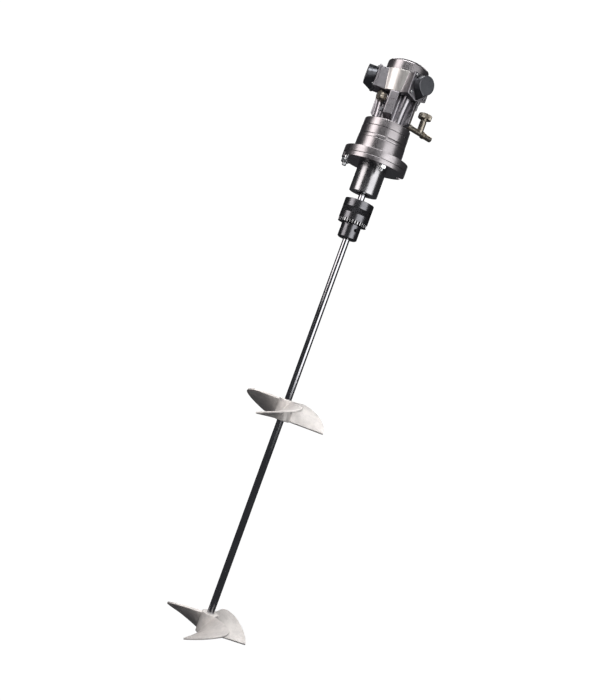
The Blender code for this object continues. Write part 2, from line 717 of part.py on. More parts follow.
def neck_clearance():
    """The space below the case's underside that the pointed blocks leave for the neck."""
    return rod_mesh(PILASTER_REACH + 1.8 * MM, 90 * MM, CASE_BOTTOM, LARGE_STEPS)


def teardrop(radius, drop):
    """A circle with a pointed keel below it: x runs down, y across."""
    steps = 18
    half_open = acos(radius / drop)
    sweep = 2 * pi - 2 * half_open
    arc = [half_open + sweep * step / steps for step in range(steps + 1)]
    return [(drop, 0)] + [(radius * cos(a), radius * sin(a)) for a in arc]


def head_mesh():
    """A round cap whose keel rises from the block's point towards its outer end."""
    ends = ((HEAD_INNER_DROP, BLOCK_REACH + GAP), (HEAD_OUTER_DROP, HEAD_REACH))
    bm = bmesh.new()
    rings = [[bm.verts.new((x, y, z)) for x, y in teardrop(HEAD_RADIUS, drop)] for drop, z in ends]
    join_rings(bm, rings[0], rings[1])
    bm.faces.new(rings[0])
    bm.faces.new(rings[1])
    return bm


def add_cylinder_heads():
    for number, bearing in enumerate(CYLINDER_BEARINGS, 1):
        place = radial(bearing, CYLINDER_Z)
        name = f"cylinder_head_{number}"
        bm = head_mesh()
        bm.transform(place)
        head = add_object(name, bm, gunmetal(name))
        room = rod_mesh(BORE_RADIUS, BLOCK_REACH - MM, HEAD_ROOM_END, MEDIUM_STEPS)
        cut(head, tool(f"head_room_{number}", [room], [place]))


def add_pistons():
    """Each piston slides outwards along its cylinder from the inner end of its stroke."""
    crown = PISTON_INNER + PISTON_LENGTH
    radius = BORE_RADIUS - 0.25 * MM
    ceiling = crown - PISTON_CROWN
    foot = WEB_RADIUS + 0.6 * MM
    profile = [(PISTON_INNER_RADIUS, PISTON_INNER), (radius, PISTON_INNER), (radius, crown), (0, crown)]
    profile += [(0, ceiling), (PISTON_INNER_RADIUS, ceiling)]
    rod_profile = [(0, foot), (ROD_RADIUS, foot), (ROD_RADIUS, PISTON_INNER + 2 * MM)]
    rod_profile += [(ROD_HEAD_RADIUS, PISTON_INNER + 4 * MM), (ROD_HEAD_RADIUS, ceiling - GAP)]
    rod_profile.append((0, ceiling - GAP))
    for number, bearing in enumerate(CYLINDER_BEARINGS, 1):
        place = radial(bearing, CYLINDER_Z)
        piston = add_object(f"piston_{number}", turned_piston(profile), steel(f"piston_{number}"))
        piston.matrix_world = place
        name = f"connecting_rod_{number}"
        link = turned(name, rod_profile, SMALL_STEPS, steel(name))
        link.matrix_world = place


def turned_piston(profile):
    """A cup: the outline starts on the skirt and its crown closes on the axis inside and outside."""
    bm = bmesh.new()
    rings = [ring_of_points(bm, radius, z, MEDIUM_STEPS) for radius, z in profile]
    for lower, upper in zip(rings[:4], rings[1:4]):
        join_rings(bm, lower, upper)
    join_rings(bm, rings[4], rings[5])
    join_rings(bm, rings[5], rings[0])
    return bm


def add_top_cover():
    radius = COVER_RADIUS
    low = CASE_TOP + GAP
    pocket = CRANK_BEARING_UPPER_RADIUS + GAP
    profile = [(0, low + COVER_POCKET), (pocket, low + COVER_POCKET), (pocket, low), (radius, low)]
    for step in range(5):
        angle = pi / 2 * step / 4
        profile.append((radius - COVER_ROUND * (1 - cos(angle)), COVER_TOP - COVER_ROUND * (1 - sin(angle))))
    profile.append((0, COVER_TOP))
    turned("motor_top_cover", profile, LARGE_STEPS, gunmetal("motor_top_cover"))


def add_neck_fittings():
    plug_tails = ((PLUG_RADIUS, 18 * MM), (PLUG_RADIUS + MM, PLUG_HEX_END + 1.5 * MM))
    hex_with_round_ends("neck_plug", PLUG_ACROSS_FLATS, PLUG_SEAT + GAP, PLUG_HEX_END, plug_tails,
                        nickel_brass("neck_plug"), radial(PLUG_BEARING, PLUG_Z))
    screw_tails = ((SCREW_RADIUS, 22 * MM), (SCREW_RADIUS - 0.5 * MM, SCREW_HEX_END + 0.4 * MM))
    hex_with_round_ends("neck_screw", SCREW_ACROSS_FLATS, SCREW_SEAT + GAP, SCREW_HEX_END, screw_tails,
                        steel("neck_screw"), radial(SCREW_BEARING, SCREW_Z))


def add_motor():
    add_crankshaft()
    bearing_ring("rotary_valve", JOURNAL_RADIUS + GAP, VALVE_RADIUS, *VALVE_SPAN)
    bearing_ring("crank_bearing_lower", JOURNAL_RADIUS + GAP, CRANK_BEARING_LOWER_RADIUS,
                 *CRANK_BEARING_LOWER)
    bearing_ring("crank_bearing_upper", TOP_JOURNAL_RADIUS + GAP, CRANK_BEARING_UPPER_RADIUS,
                 *CRANK_BEARING_UPPER)
    add_valve_housing()
    add_crankcase()
    add_cylinder_heads()
    add_pistons()
    add_top_cover()
    add_neck_fittings()


# Needle valve


def add_inlet():
    place = radial(INLET_BEARING, INLET_Z)
    stem_place = Matrix.Translation(direction(INLET_BEARING) * STEM_REACH)
    tails = ((PIPE_RADIUS, 18 * MM), (PIPE_RADIUS, ADAPTER_END))
    adapter = hex_with_round_ends("inlet_adapter", HEX_ACROSS_FLATS, *HEX_SPAN, tails,
                                  nickel_brass("inlet_adapter"), place)
    cut(adapter, tool("adapter_bore", [rod_mesh(PIPE_BORE, 10 * MM, 60 * MM, SMALL_STEPS)], [place]))
    start = ADAPTER_END + GAP
    pipe = [(0, start), (PIPE_RADIUS, start), (PIPE_RADIUS, COLLAR_SPAN[0]), (COLLAR_RADIUS, COLLAR_SPAN[0])]
    pipe += [(COLLAR_RADIUS, COLLAR_SPAN[1]), (PIPE_RADIUS, COLLAR_SPAN[1])]
    pipe += [(PIPE_RADIUS, VALVE_BODY_END), (0, VALVE_BODY_END)]
    body = turned("needle_valve_body", pipe, MEDIUM_STEPS, nickel_brass("needle_valve_body"), place)
    bonnet = rod_mesh(BONNET_RADIUS, INLET_Z + 0.7 * MM, BONNET_TOP, SMALL_STEPS + 4, chamfer=0.5 * MM)
    combine(body, tool("valve_bonnet", [bonnet], [stem_place]), "UNION")
    cut(body, tool("valve_bore", [rod_mesh(PIPE_BORE, 40 * MM, 100 * MM, SMALL_STEPS)], [place]))
    needle_way = rod_mesh(NEEDLE_RADIUS + GAP, INLET_Z - 0.4 * MM, BONNET_TOP + MM, SMALL_STEPS)
    cut(body, tool("needle_way", [needle_way], [stem_place]))
    start = VALVE_BODY_END + GAP
    chamfer = 0.4 * MM
    connector = [(PIPE_BORE, start), (CONNECTOR_RADIUS, start), (CONNECTOR_RADIUS, CONNECTOR_END - chamfer)]
    connector += [(CONNECTOR_RADIUS - chamfer, CONNECTOR_END), (PIPE_BORE, CONNECTOR_END)]
    turned("hose_connector", connector, MEDIUM_STEPS, nickel_brass("hose_connector"), place)
    needle = rod("valve_needle", NEEDLE_RADIUS, 0, NEEDLE_LENGTH, SMALL_STEPS, steel("valve_needle"),
                 chamfer=MM)
    needle.location = direction(INLET_BEARING) * STEM_REACH + Vector((0, 0, INLET_Z + 0.5 * MM))
    add_knob()


def add_knob():
    """A milled knob around the needle's top end."""
    height = KNOB_TOP - KNOB_BOTTOM
    hole = NEEDLE_RADIUS + GAP
    profile = [(hole, -KNOB_NECK), (BONNET_RADIUS, -KNOB_NECK), (BONNET_RADIUS, 0), (KNOB_RADIUS - EDGE, 0)]
    profile += [(KNOB_RADIUS, EDGE), (KNOB_RADIUS, height - EDGE), (KNOB_RADIUS - EDGE, height), (0, height)]
    profile += [(0, KNOB_POCKET), (hole, KNOB_POCKET)]
    bm = bmesh.new()
    rings = [ring_of_points(bm, radius, z, MEDIUM_STEPS) for radius, z in profile]
    for lower, upper in zip(rings[:8], rings[1:8]):
        join_rings(bm, lower, upper)
    join_rings(bm, rings[8], rings[9])
    join_rings(bm, rings[9], rings[0])
    knob = add_object("valve_knob", bm, nickel_brass("valve_knob"))
    knob.location = direction(INLET_BEARING) * STEM_REACH + Vector((0, 0, KNOB_BOTTOM))


# Drill chuck


def jaw_place(bearing):
    """Local +Z runs up the inclined jaw. The origin is on the jaw's axis near its foot."""
    foot = Matrix.Translation((JAW_FOOT_OFFSET, 0, JAW_FOOT_Z))
    return facing(bearing) @ foot @ Matrix.Rotation(JAW_SLOPE, 4, "Y")


def add_chuck_body():
    bore = MIXING_SHAFT_RADIUS + GAP
    top = SLEEVE_TOP
    profile = [(bore, NOSE_BOTTOM), (NOSE_RADIUS - 3 * MM, NOSE_BOTTOM), (NOSE_RADIUS, NOSE_BOTTOM + 2 * MM)]
    profile += [(NOSE_RADIUS, SLEEVE_BOTTOM), (CHUCK_CORE_RADIUS, SLEEVE_BOTTOM + 2 * MM)]
    profile += [(CHUCK_CORE_RADIUS, top - EDGE), (CHUCK_CORE_RADIUS - EDGE, top), (bore, top)]
    body = turned("chuck_body", profile, LARGE_STEPS, black_oxide("chuck_body"))
    slots = [rod_mesh(JAW_RADIUS + GAP, -12 * MM, 46 * MM, SMALL_STEPS) for _ in JAW_BEARINGS]
    cut(body, tool("jaw_slots", slots, map(jaw_place, JAW_BEARINGS)))
    holes = [rod_mesh(KEY_HOLE_RADIUS, KEY_HOLE_FLOOR, 25 * MM, SMALL_STEPS) for _ in range(3)]
    places = [radial(KEY_HOLE_BEARING + 120 * turn, KEY_HOLE_Z) for turn in range(3)]
    cut(body, tool("key_holes", holes, places))


def add_chuck_sleeve():
    inner = CHUCK_CORE_RADIUS + GAP
    low = SLEEVE_BOTTOM + GAP
    band = SLEEVE_RADIUS - 0.4 * MM
    profile = [(inner, low), (SLEEVE_RADIUS - 1.5 * MM, low), (SLEEVE_RADIUS, low + 5 * MM)]
    profile += [(SLEEVE_RADIUS, BAND_BOTTOM), (band, BAND_BOTTOM), (band, BAND_TOP)]
    profile += [(SLEEVE_RADIUS, BAND_TOP), (SLEEVE_RADIUS, SLEEVE_TOP - MM)]
    profile += [(SLEEVE_RADIUS - MM, SLEEVE_TOP), (inner, SLEEVE_TOP)]
    turned("chuck_sleeve", profile, LARGE_STEPS, black_oxide("chuck_sleeve"))


def add_jaws():
    """Inclined round jaws, cut upright where they meet the shaft and level at the foot."""
    for number, bearing in enumerate(JAW_BEARINGS, 1):
        bm = rod_mesh(JAW_RADIUS, -JAW_OVERRUN, JAW_LENGTH, SMALL_STEPS)
        tilt = Matrix.Translation((JAW_FOOT_OFFSET, 0, JAW_FOOT_Z)) @ Matrix.Rotation(JAW_SLOPE, 4, "Y")
        bm.transform(tilt)
        slice_off(bm, Vector((MIXING_SHAFT_RADIUS + 0.25 * MM, 0, 0)), Vector((-1, 0, 0)))
        slice_off(bm, Vector((0, 0, NOSE_BOTTOM + MM)), Vector((0, 0, -1)))
        bm.transform(tilt.inverted())
        jaw = add_object(f"chuck_jaw_{number}", bm, steel(f"chuck_jaw_{number}"))
        jaw.matrix_world = jaw_place(bearing)


def slice_off(bm, point, normal):
    """Remove what lies on the normal's side of a plane and close the cut."""
    geometry = list(bm.verts) + list(bm.edges) + list(bm.faces)
    bmesh.ops.bisect_plane(bm, geom=geometry, plane_co=point, plane_no=normal, clear_outer=True)
    rim = [edge for edge in bm.edges if edge.is_boundary]
    bmesh.ops.holes_fill(bm, edges=rim)


def add_chuck():
    add_chuck_body()
    add_chuck_sleeve()
    add_jaws()


# Mixing shaft and propellers


def blade_reach(along):
    """Outer radius of the blade. along runs from 0 at the leading edge to 1 at the trailing edge."""
    corner = BLADE_CORNER / (BLADE_REACH * BLADE_SPAN)
    into = max(0.0, (along - (1 - corner)) / corner)
    return BLADE_REACH - BLADE_CORNER * (1 - max(0.0, 1 - into ** 2) ** 0.5)


def blade_mesh(lead_bearing, hub_bottom):
    """One screw-shaped blade between the hub and its tip, with both faces and its edges."""
    along_steps = [0, 0.16, 0.32, 0.48, 0.64, 0.76, 0.86, 0.93, 0.98, 1]
    across_steps = 4
    inner = HUB_RADIUS - 3 * MM
    lead = radians(lead_bearing - 90)
    low = hub_bottom + (HUB_HEIGHT - BLADE_RISE) / 2
    bm = bmesh.new()
    sheets = []
    for side in (-1, 1):
        rows = []
        for along in along_steps:
            outer = blade_reach(along)
            row = []
            for across in range(across_steps + 1):
                radius = inner + (outer - inner) * across / across_steps
                row.append(bm.verts.new(blade_point(lead, low, along, radius, side)))
            rows.append(row)
        sheets.append(rows)
    for rows in sheets:
        for row, after in zip(rows, rows[1:]):
            for column in range(across_steps):
                bm.faces.new((row[column], row[column + 1], after[column + 1], after[column]))
    rims = [blade_rim(rows) for rows in sheets]
    join_rings(bm, rims[0], rims[1])
    return bm


def blade_point(lead, low, along, radius, side):
    """A point on one face of the blade, half the thickness away from its middle surface."""
    angle = lead + BLADE_SPAN * along
    pitch = BLADE_RISE / BLADE_SPAN
    normal = Vector((pitch * sin(angle), -pitch * cos(angle), radius)).normalized()
    middle = Vector((radius * cos(angle), radius * sin(angle), low + BLADE_RISE * along))
    return middle + normal * side * BLADE_THICKNESS / 2


def blade_rim(rows):
    """The edge of one face of the blade, in order around it."""
    rim = list(rows[0]) + [row[-1] for row in rows[1:]]
    rim += list(reversed(rows[-1][:-1]))
    rim += [row[0] for row in reversed(rows[1:-1])]
    return rim


def add_propeller(name, hub_top, lead_bearing):
    bottom = hub_top - HUB_HEIGHT
    bore = MIXING_SHAFT_RADIUS + GAP
    profile = [(bore, bottom), (HUB_RADIUS - MM, bottom), (HUB_RADIUS, bottom + MM)]
    profile += [(HUB_RADIUS, hub_top - MM), (HUB_RADIUS - MM, hub_top), (bore, hub_top)]
    propeller = turned(name, profile, MEDIUM_STEPS, cast_metal(name))
    for turn in range(3):
        blade = blade_mesh(lead_bearing + 120 * turn, bottom)
        combine(propeller, tool(f"{name}_blade_{turn + 1}", [blade], [Matrix()]), "UNION")
    middle = bottom + HUB_HEIGHT / 2
    place = radial(lead_bearing + SET_SCREW_TURN, middle)
    hole = rod_mesh(SET_SCREW_RADIUS + GAP, MIXING_SHAFT_RADIUS, 20 * MM, SMALL_STEPS)
    cut(propeller, tool(f"{name}_screw_hole", [hole], [place]))
    rod(f"{name}_set_screw", SET_SCREW_RADIUS, MIXING_SHAFT_RADIUS + 0.4 * MM, SET_SCREW_END,
        SMALL_STEPS, steel(f"{name}_set_screw"), place)


def add_mixer():
    rod("mixing_shaft", MIXING_SHAFT_RADIUS, MIXING_SHAFT_BOTTOM, MIXING_SHAFT_TOP, MEDIUM_STEPS,
        steel("mixing_shaft"), chamfer=MM)
    add_propeller("upper_propeller", UPPER_HUB_TOP, UPPER_LEAD_BEARING)
    add_propeller("lower_propeller", LOWER_HUB_TOP, LOWER_LEAD_BEARING)


clear_scene()
add_gearbox()
add_motor()
add_inlet()
add_chuck()
add_mixer()
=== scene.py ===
"""Looks of the air-driven drum mixer: fine meshes, metal finishes, soft studio light and the camera."""

import json
from math import acos, atan2, cos, hypot, pi, radians, sin, tan

import bmesh
import bpy
from mathutils import Matrix, Vector


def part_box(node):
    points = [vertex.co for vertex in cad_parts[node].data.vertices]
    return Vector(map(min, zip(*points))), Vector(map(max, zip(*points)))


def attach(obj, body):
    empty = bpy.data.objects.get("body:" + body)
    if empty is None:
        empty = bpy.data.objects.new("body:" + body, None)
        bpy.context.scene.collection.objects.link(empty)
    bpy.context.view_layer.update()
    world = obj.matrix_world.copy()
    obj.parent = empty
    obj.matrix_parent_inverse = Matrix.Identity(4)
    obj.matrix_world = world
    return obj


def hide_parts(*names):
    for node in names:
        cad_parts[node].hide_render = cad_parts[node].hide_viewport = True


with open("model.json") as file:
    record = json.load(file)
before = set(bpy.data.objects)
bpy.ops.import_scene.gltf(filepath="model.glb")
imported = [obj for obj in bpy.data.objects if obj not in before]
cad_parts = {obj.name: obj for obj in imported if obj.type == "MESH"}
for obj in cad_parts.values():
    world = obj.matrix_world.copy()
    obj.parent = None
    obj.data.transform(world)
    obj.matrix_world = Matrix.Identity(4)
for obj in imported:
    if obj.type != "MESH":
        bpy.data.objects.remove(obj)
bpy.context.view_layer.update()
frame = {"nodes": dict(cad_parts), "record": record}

MM = 0.001

# Steps round a circle: large turned pieces, middle-sized ones, and studs and screws.
FINE = 128
ROUND = 72
SMALL = 40
HEXAGON_STEPS = 120

# The usual rounding of a turned edge, and the angles in degrees past which an edge is shaded sharp.
EDGE = 0.5 * MM
SHARP = 32
SHARP_PAST_BEVEL = 40

# The same bearings as the CAD model: degrees from -Y, positive towards +X.
CYLINDER_BEARINGS = (36, 156, 276)
STUD_BEARINGS = (17, 197, 287)
STUD_HOLE_BEARINGS = (17, 107, 197, 287)
PLAIN_HOLE_BEARINGS = (17, 197)
NOTCH_BEARINGS = (107, 287)
PILASTER_BEARINGS = (-14, 76, 166, 256)
JAW_BEARINGS = (91, 211, 331)
KEY_HOLE_BEARING = 31
UPPER_LEAD_BEARING = -34.5
LOWER_LEAD_BEARING = -21.2
PLUG_BEARING = -53
SCREW_BEARING = -41
INLET_BEARING = 127

# Flange, studs and shaft, as in the CAD model.
TUBE_RADIUS = 25.75 * MM
STUD_CIRCLE_RADIUS = 51 * MM
STUD_RADIUS = 4 * MM
STUD_HOLE_RADIUS = 4.3 * MM
CLEARANCE_RADIUS = 4.6 * MM
FLANGE_CUT = (-1 * MM, 9 * MM)
NUT_ACROSS = 13 * MM
SHAFT_BORE = 6.65 * MM

# The neck: a core, pilasters with sloped feet, and ducts that flare outwards as they rise.
NECK_CORE = 23 * MM
PILASTER_HALF_WIDTH = 8.2 * MM
PILASTER_DEPTH = 13 * MM
PILASTER_FOOT_Z = 81 * MM
PILASTER_FOOT_RISE = 8.5 * MM
DUCT_RADIUS = 9 * MM
DUCT_SINK = 2 * MM
DUCT_FLARE = 5 * MM
PLUG_Z = 117 * MM
SCREW_Z = 96 * MM
INLET_Z = 95.5 * MM
STEM_REACH = 73 * MM
NEEDLE_HOLE = 2.6 * MM

# The motor: distances along a cylinder are from the crank's axis.
CYLINDER_Z = 151.5 * MM
CASE_LOW = 130.6 * MM
CASE_TOP = 169 * MM
CYLINDER_BORE = 14 * MM
BLOCK = (22 * MM, 50 * MM)
END_PLATE = (47.8 * MM, 51 * MM)
END_PLATE_LIP = 1.4 * MM
HEAD_RADIUS = 16.4 * MM
HEAD_FOOT = 51.3 * MM
HEAD_END = 67.3 * MM

# Screws at the corners of each cylinder's end plate: how far below its axis and how far aside.
PLATE_SCREWS = [(drop * MM, side * MM) for drop in (-12.5, 18) for side in (-15.6, 15.6)]


# Meshes


def direction(bearing):
    """The level unit vector along a bearing."""
    angle = radians(bearing)
    return Vector((sin(angle), -cos(angle), 0))


def facing(bearing):
    """A turn about Z that brings +X onto a bearing."""
    return Matrix.Rotation(radians(bearing - 90), 4, "Z")


def radial(bearing, z):
    """Local +Z runs outwards along the bearing and local +X runs down."""
    return Matrix.Translation((0, 0, z)) @ facing(bearing) @ Matrix.Rotation(pi / 2, 4, "Y")


def loft(rings, closed=False):
    """Join rings of points, each a list of (x, y, z) or a single point, into a bmesh."""
    bm = bmesh.new()
    made = [[bm.verts.new(point) for point in ring] for ring in rings]
    pairs = list(zip(made, made[1:]))
    if closed:
        pairs.append((made[-1], made[0]))
    for low, high in pairs:
        count = max(len(low), len(high))
        for k in range(count):
            j = (k + 1) % count
            corners = [low[k % len(low)], low[j % len(low)], high[j % len(high)], high[k % len(high)]]
            bm.faces.new(list(dict.fromkeys(corners)))
    bmesh.ops.recalc_face_normals(bm, faces=bm.faces)
    return bm


def circle(radius, z, steps):
    """A ring of points about Z, or the single point on the axis."""
    if radius == 0:
        return [(0, 0, z)]
    angles = [2 * pi * k / steps for k in range(steps)]
    return [(radius * cos(a), radius * sin(a), z) for a in angles]


def rounded(profile, size, closed):
    """Replace each corner of a (radius, z) profile that isn't on the axis by a small three-point round."""
    result = []
    count = len(profile)
    for k, (r, z) in enumerate(profile):
        on_axis = r == 0
        at_end = not closed and k in (0, count - 1)
        if on_axis or at_end:
            result.append((r, z))
            continue
        corner = Vector((r, z))
        before = Vector(profile[k - 1]) - corner
        after = Vector(profile[(k + 1) % count]) - corner
        reach = min(size, 0.45 * before.length, 0.45 * after.length)
        first = corner + before.normalized() * reach
        last = corner + after.normalized() * reach
        middle = (first + last + 2 * corner) / 4 if reach else corner
        result += [tuple(first), tuple(middle), tuple(last)]
    return result


def lathe(profile, steps=FINE, size=EDGE):
    """Turn a (radius, z) profile about Z: a solid if it starts on the axis, a tube otherwise."""
    closed = profile[0][0] > 0
    line = rounded(profile, size, closed)
    return loft([circle(r, z, steps) for r, z in line], closed)


def bar(radius, low, high, steps=ROUND, size=0.0):
    """A round bar along Z between two heights, with sharp ends unless a size is given."""
    return lathe([(0, low), (radius, low), (radius, high), (0, high)], steps, size)


def cap_ends(bm, low, high):
    """Close an upright tube whose end rings lie at two heights."""
    for z in (low, high):
        bm.faces.new([v for v in bm.verts if abs(v.co.z - z) < 1e-7])
    bmesh.ops.recalc_face_normals(bm, faces=bm.faces)


def prism(outline, low, high):
    """An outline of (x, y) points drawn upwards between two heights."""
    bm = loft([[(x, y, z) for x, y in outline] for z in (low, high)])
    cap_ends(bm, low, high)
    return bm


def piece(name, bm, place=Matrix()):
    """Make a shaded object out of a bmesh."""
    bm.transform(place)
    mesh = bpy.data.meshes.new(name)
    bm.to_mesh(mesh)
    bm.free()
    mesh.shade_smooth()
    mesh.set_sharp_from_angle(angle=radians(SHARP))
    made = bpy.data.objects.new(name, mesh)
    bpy.context.scene.collection.objects.link(made)
    return made


def joined(*parts):
    """One bmesh out of several (bmesh, place) pairs."""
    bm = bmesh.new()
    for part, place in parts:
        part.transform(place)
        mesh = bpy.data.meshes.new("joined")
        part.to_mesh(mesh)
        part.free()
        bm.from_mesh(mesh)
        bpy.data.meshes.remove(mesh)
    return bm


def apply_modifiers(made):
    """Replace an object's mesh by its evaluated one."""
    graph = bpy.context.evaluated_depsgraph_get()
    mesh = bpy.data.meshes.new_from_object(made.evaluated_get(graph))
    made.modifiers.clear()
    old = made.data
    made.data = mesh
    bpy.data.meshes.remove(old)


def shape(made, operation, *parts):
    """Cut, or join, separate (bmesh, place) parts from an object with exact Booleans."""
    for part, place in parts:
        helper = piece("helper", part, place)
        modifier = made.modifiers.new("shape", "BOOLEAN")
        modifier.operation = operation
        modifier.object = helper
        apply_modifiers(made)
        bpy.data.objects.remove(helper)
    made.data.shade_smooth()
    made.data.set_sharp_from_angle(angle=radians(SHARP))


def bevel(made, width):
    """Round every edge that is sharper than SHARP."""
    modifier = made.modifiers.new("edges", "BEVEL")
    modifier.width = width
    modifier.segments = 2
    modifier.limit_method = "ANGLE"
    modifier.angle_limit = radians(SHARP)
    modifier.use_clamp_overlap = True
    apply_modifiers(made)
    made.data.shade_smooth()
    made.data.set_sharp_from_angle(angle=radians(SHARP_PAST_BEVEL))


def cast(made):
    """Turn joined shapes into one skin with soft cast edges."""
    modifier = made.modifiers.new("skin", "REMESH")
    modifier.mode = "VOXEL"
    modifier.voxel_size = 0.7 * MM
    modifier = made.modifiers.new("soften", "SMOOTH")
    modifier.factor = 0.5
    modifier.iterations = 3
    apply_modifiers(made)
    made.data.shade_smooth()


# Materials

# A noise stretch that is the same along every axis, and bump heights in metres.
EVEN = (1, 1, 1)
FINE_GRAIN = 0.0002
CAST_GRAIN = 0.0003


class Finish:
    """A small helper that builds a Principled material out of texture nodes."""

    def __init__(self, name):
        self.material = bpy.data.materials.new(name)
        self.material.use_nodes = True
        self.tree = self.material.node_tree
        self.shader = self.tree.nodes["Principled BSDF"]
        self.place = self.add("ShaderNodeTexCoord").outputs["Object"]

    def add(self, kind, **values):
        node = self.tree.nodes.new(kind)
        for key, value in values.items():
            setattr(node, key, value)
        return node

    def link(self, start, end):
        self.tree.links.new(start, end)

    def noise(self, stretch, scale, detail=4.0, roughness=0.55, distortion=0.0):
        """Noise on object coordinates, stretched by a factor along each axis."""
        mapping = self.add("ShaderNodeMapping")
        mapping.inputs["Scale"].default_value = stretch
        self.link(self.place, mapping.inputs["Vector"])
        texture = self.add("ShaderNodeTexNoise")
        texture.inputs["Scale"].default_value = scale
        texture.inputs["Detail"].default_value = detail
        texture.inputs["Roughness"].default_value = roughness
        texture.inputs["Distortion"].default_value = distortion
        self.link(mapping.outputs["Vector"], texture.inputs["Vector"])
        return texture.outputs["Fac"]

    def ramp(self, source, stops):
        """Map a value onto colours: stops are (place, colour)."""
        node = self.add("ShaderNodeValToRGB")
        while len(node.color_ramp.elements) < len(stops):
            node.color_ramp.elements.new(0.5)
        for element, (position, colour) in zip(node.color_ramp.elements, stops):
            element.position = position
            element.color = (*colour, 1)
        self.link(source, node.inputs["Fac"])
        return node.outputs["Color"]

    def spread(self, source, low, high):
        """Map a noise value's usual middle stretch onto low to high."""
        node = self.add("ShaderNodeMapRange")
        node.inputs["From Min"].default_value = 0.3
        node.inputs["From Max"].default_value = 0.7
        node.inputs["To Min"].default_value = low
        node.inputs["To Max"].default_value = high
        self.link(source, node.inputs["Value"])
        return node.outputs["Result"]

    def mix(self, factor, first, second):
        """Blend from the first colour to the second."""
        node = self.add("ShaderNodeMix", data_type="RGBA")
        self.link(factor, node.inputs["Factor"])
        self.link(first, node.inputs["A"])
        self.link(second, node.inputs["B"])
        return node.outputs["Result"]

    def bump(self, source, strength, distance):
        """A shading normal that lets a value stand out by up to a distance."""
        node = self.add("ShaderNodeBump")
        node.inputs["Strength"].default_value = strength
        node.inputs["Distance"].default_value = distance
        self.link(source, node.inputs["Height"])
        return node.outputs["Normal"]

    def finish(self, colour, roughness, normal, metallic=1.0):
        """Plug colour, roughness and normal into the shader and hand over the material."""
        self.link(colour, self.shader.inputs["Base Color"])
        self.link(roughness, self.shader.inputs["Roughness"])
        self.link(normal, self.shader.inputs["Normal"])
        self.shader.inputs["Metallic"].default_value = metallic
        return self.material


def tint(colour, factor):
    return tuple(channel * factor for channel in colour)


def turned_metal(name, colour, rough):
    """Metal turned on a lathe: fine rings across the axis, faint stains and uneven gloss."""
    look = Finish(name)
    stains = look.noise(EVEN, 28, detail=5)
    rings = look.noise((0.02, 0.02, 1), 900, detail=3, roughness=0.7)
    wipe = look.noise((1, 1, 0.25), 60, detail=6, roughness=0.65, distortion=0.4)
    base = look.ramp(stains, [(0.3, tint(colour, 0.82)), (0.55, colour), (0.75, tint(colour, 1.15))])
    marks = look.ramp(rings, [(0.3, tint(colour, 0.78)), (0.7, tint(colour, 1.12))])
    factor = look.spread(wipe, 0.15, 0.55)
    gloss = look.spread(wipe, rough * 0.8, rough * 1.3)
    normal = look.bump(rings, 0.02, FINE_GRAIN)
    return look.finish(look.mix(factor, base, marks), gloss, normal)


def polished_metal(name, colour, rough):
    """Ground and polished bar: hairlines around the axis and a few dull patches."""
    look = Finish(name)
    hairlines = look.noise((0.03, 0.03, 1), 1500, detail=2, roughness=0.8)
    patches = look.noise((1, 1, 0.5), 35, detail=5)
    base = look.ramp(patches, [(0.35, tint(colour, 0.9)), (0.65, colour)])
    marks = look.ramp(hairlines, [(0.35, tint(colour, 0.88)), (0.65, tint(colour, 1.05))])
    gloss = look.spread(patches, rough * 0.7, rough * 1.4)
    normal = look.bump(hairlines, 0.012, FINE_GRAIN)
    return look.finish(look.mix(look.spread(hairlines, 0.1, 0.5), base, marks), gloss, normal)


def cast_metal(name, colour, rough, pits=0.12, metallic=1.0):
    """Cast and tumbled metal: fine pits, soft mottling, uneven gloss."""
    look = Finish(name)
    mottling = look.noise(EVEN, 45, detail=6, roughness=0.6)
    grain = look.noise(EVEN, 650, detail=4, roughness=0.6)
    scuffs = look.noise(EVEN, 120, detail=8, roughness=0.75, distortion=1.2)
    base = look.ramp(mottling, [(0.3, tint(colour, 0.78)), (0.52, colour), (0.72, tint(colour, 1.14))])
    worn = look.ramp(scuffs, [(0.35, tint(colour, 0.72)), (0.65, tint(colour, 1.2))])
    gloss = look.spread(grain, rough * 0.8, rough * 1.25)
    normal = look.bump(grain, pits, CAST_GRAIN)
    return look.finish(look.mix(look.spread(scuffs, 0.1, 0.5), base, worn), gloss, normal, metallic)


def plated_metal(name, colour, worn_colour, rough):
    """Thin plating that has worn through to the metal below in places."""
    look = Finish(name)
    wear = look.noise(EVEN, 160, detail=8, roughness=0.7, distortion=0.8)
    grain = look.noise(EVEN, 900, detail=3)
    base = look.ramp(wear, [(0.38, worn_colour), (0.5, tint(colour, 0.9)), (0.7, colour)])
    fine = look.ramp(grain, [(0.3, tint(colour, 0.75)), (0.7, tint(colour, 1.1))])
    gloss = look.spread(wear, rough * 1.4, rough * 0.8)
    normal = look.bump(grain, 0.05, FINE_GRAIN)
    return look.finish(look.mix(look.spread(grain, 0.1, 0.4), base, fine), gloss, normal)


def black_oxide(name):
    """Blackened steel that shows grey metal where hands and keys rub it."""
    look = Finish(name)
    rub = look.noise(EVEN, 90, detail=8, roughness=0.7, distortion=0.6)
    rings = look.noise((0.03, 0.03, 1), 1200, detail=3, roughness=0.7)
    base = look.ramp(rub, [(0.3, (0.12, 0.12, 0.13)), (0.6, (0.15, 0.15, 0.16)), (0.8, (0.2, 0.2, 0.21))])
    fine = look.ramp(rings, [(0.3, (0.08, 0.08, 0.088)), (0.7, (0.17, 0.17, 0.178))])
    gloss = look.spread(rub, 0.32, 0.24)
    normal = look.bump(rings, 0.02, FINE_GRAIN)
    return look.finish(look.mix(look.spread(rings, 0.1, 0.45), base, fine), gloss, normal)


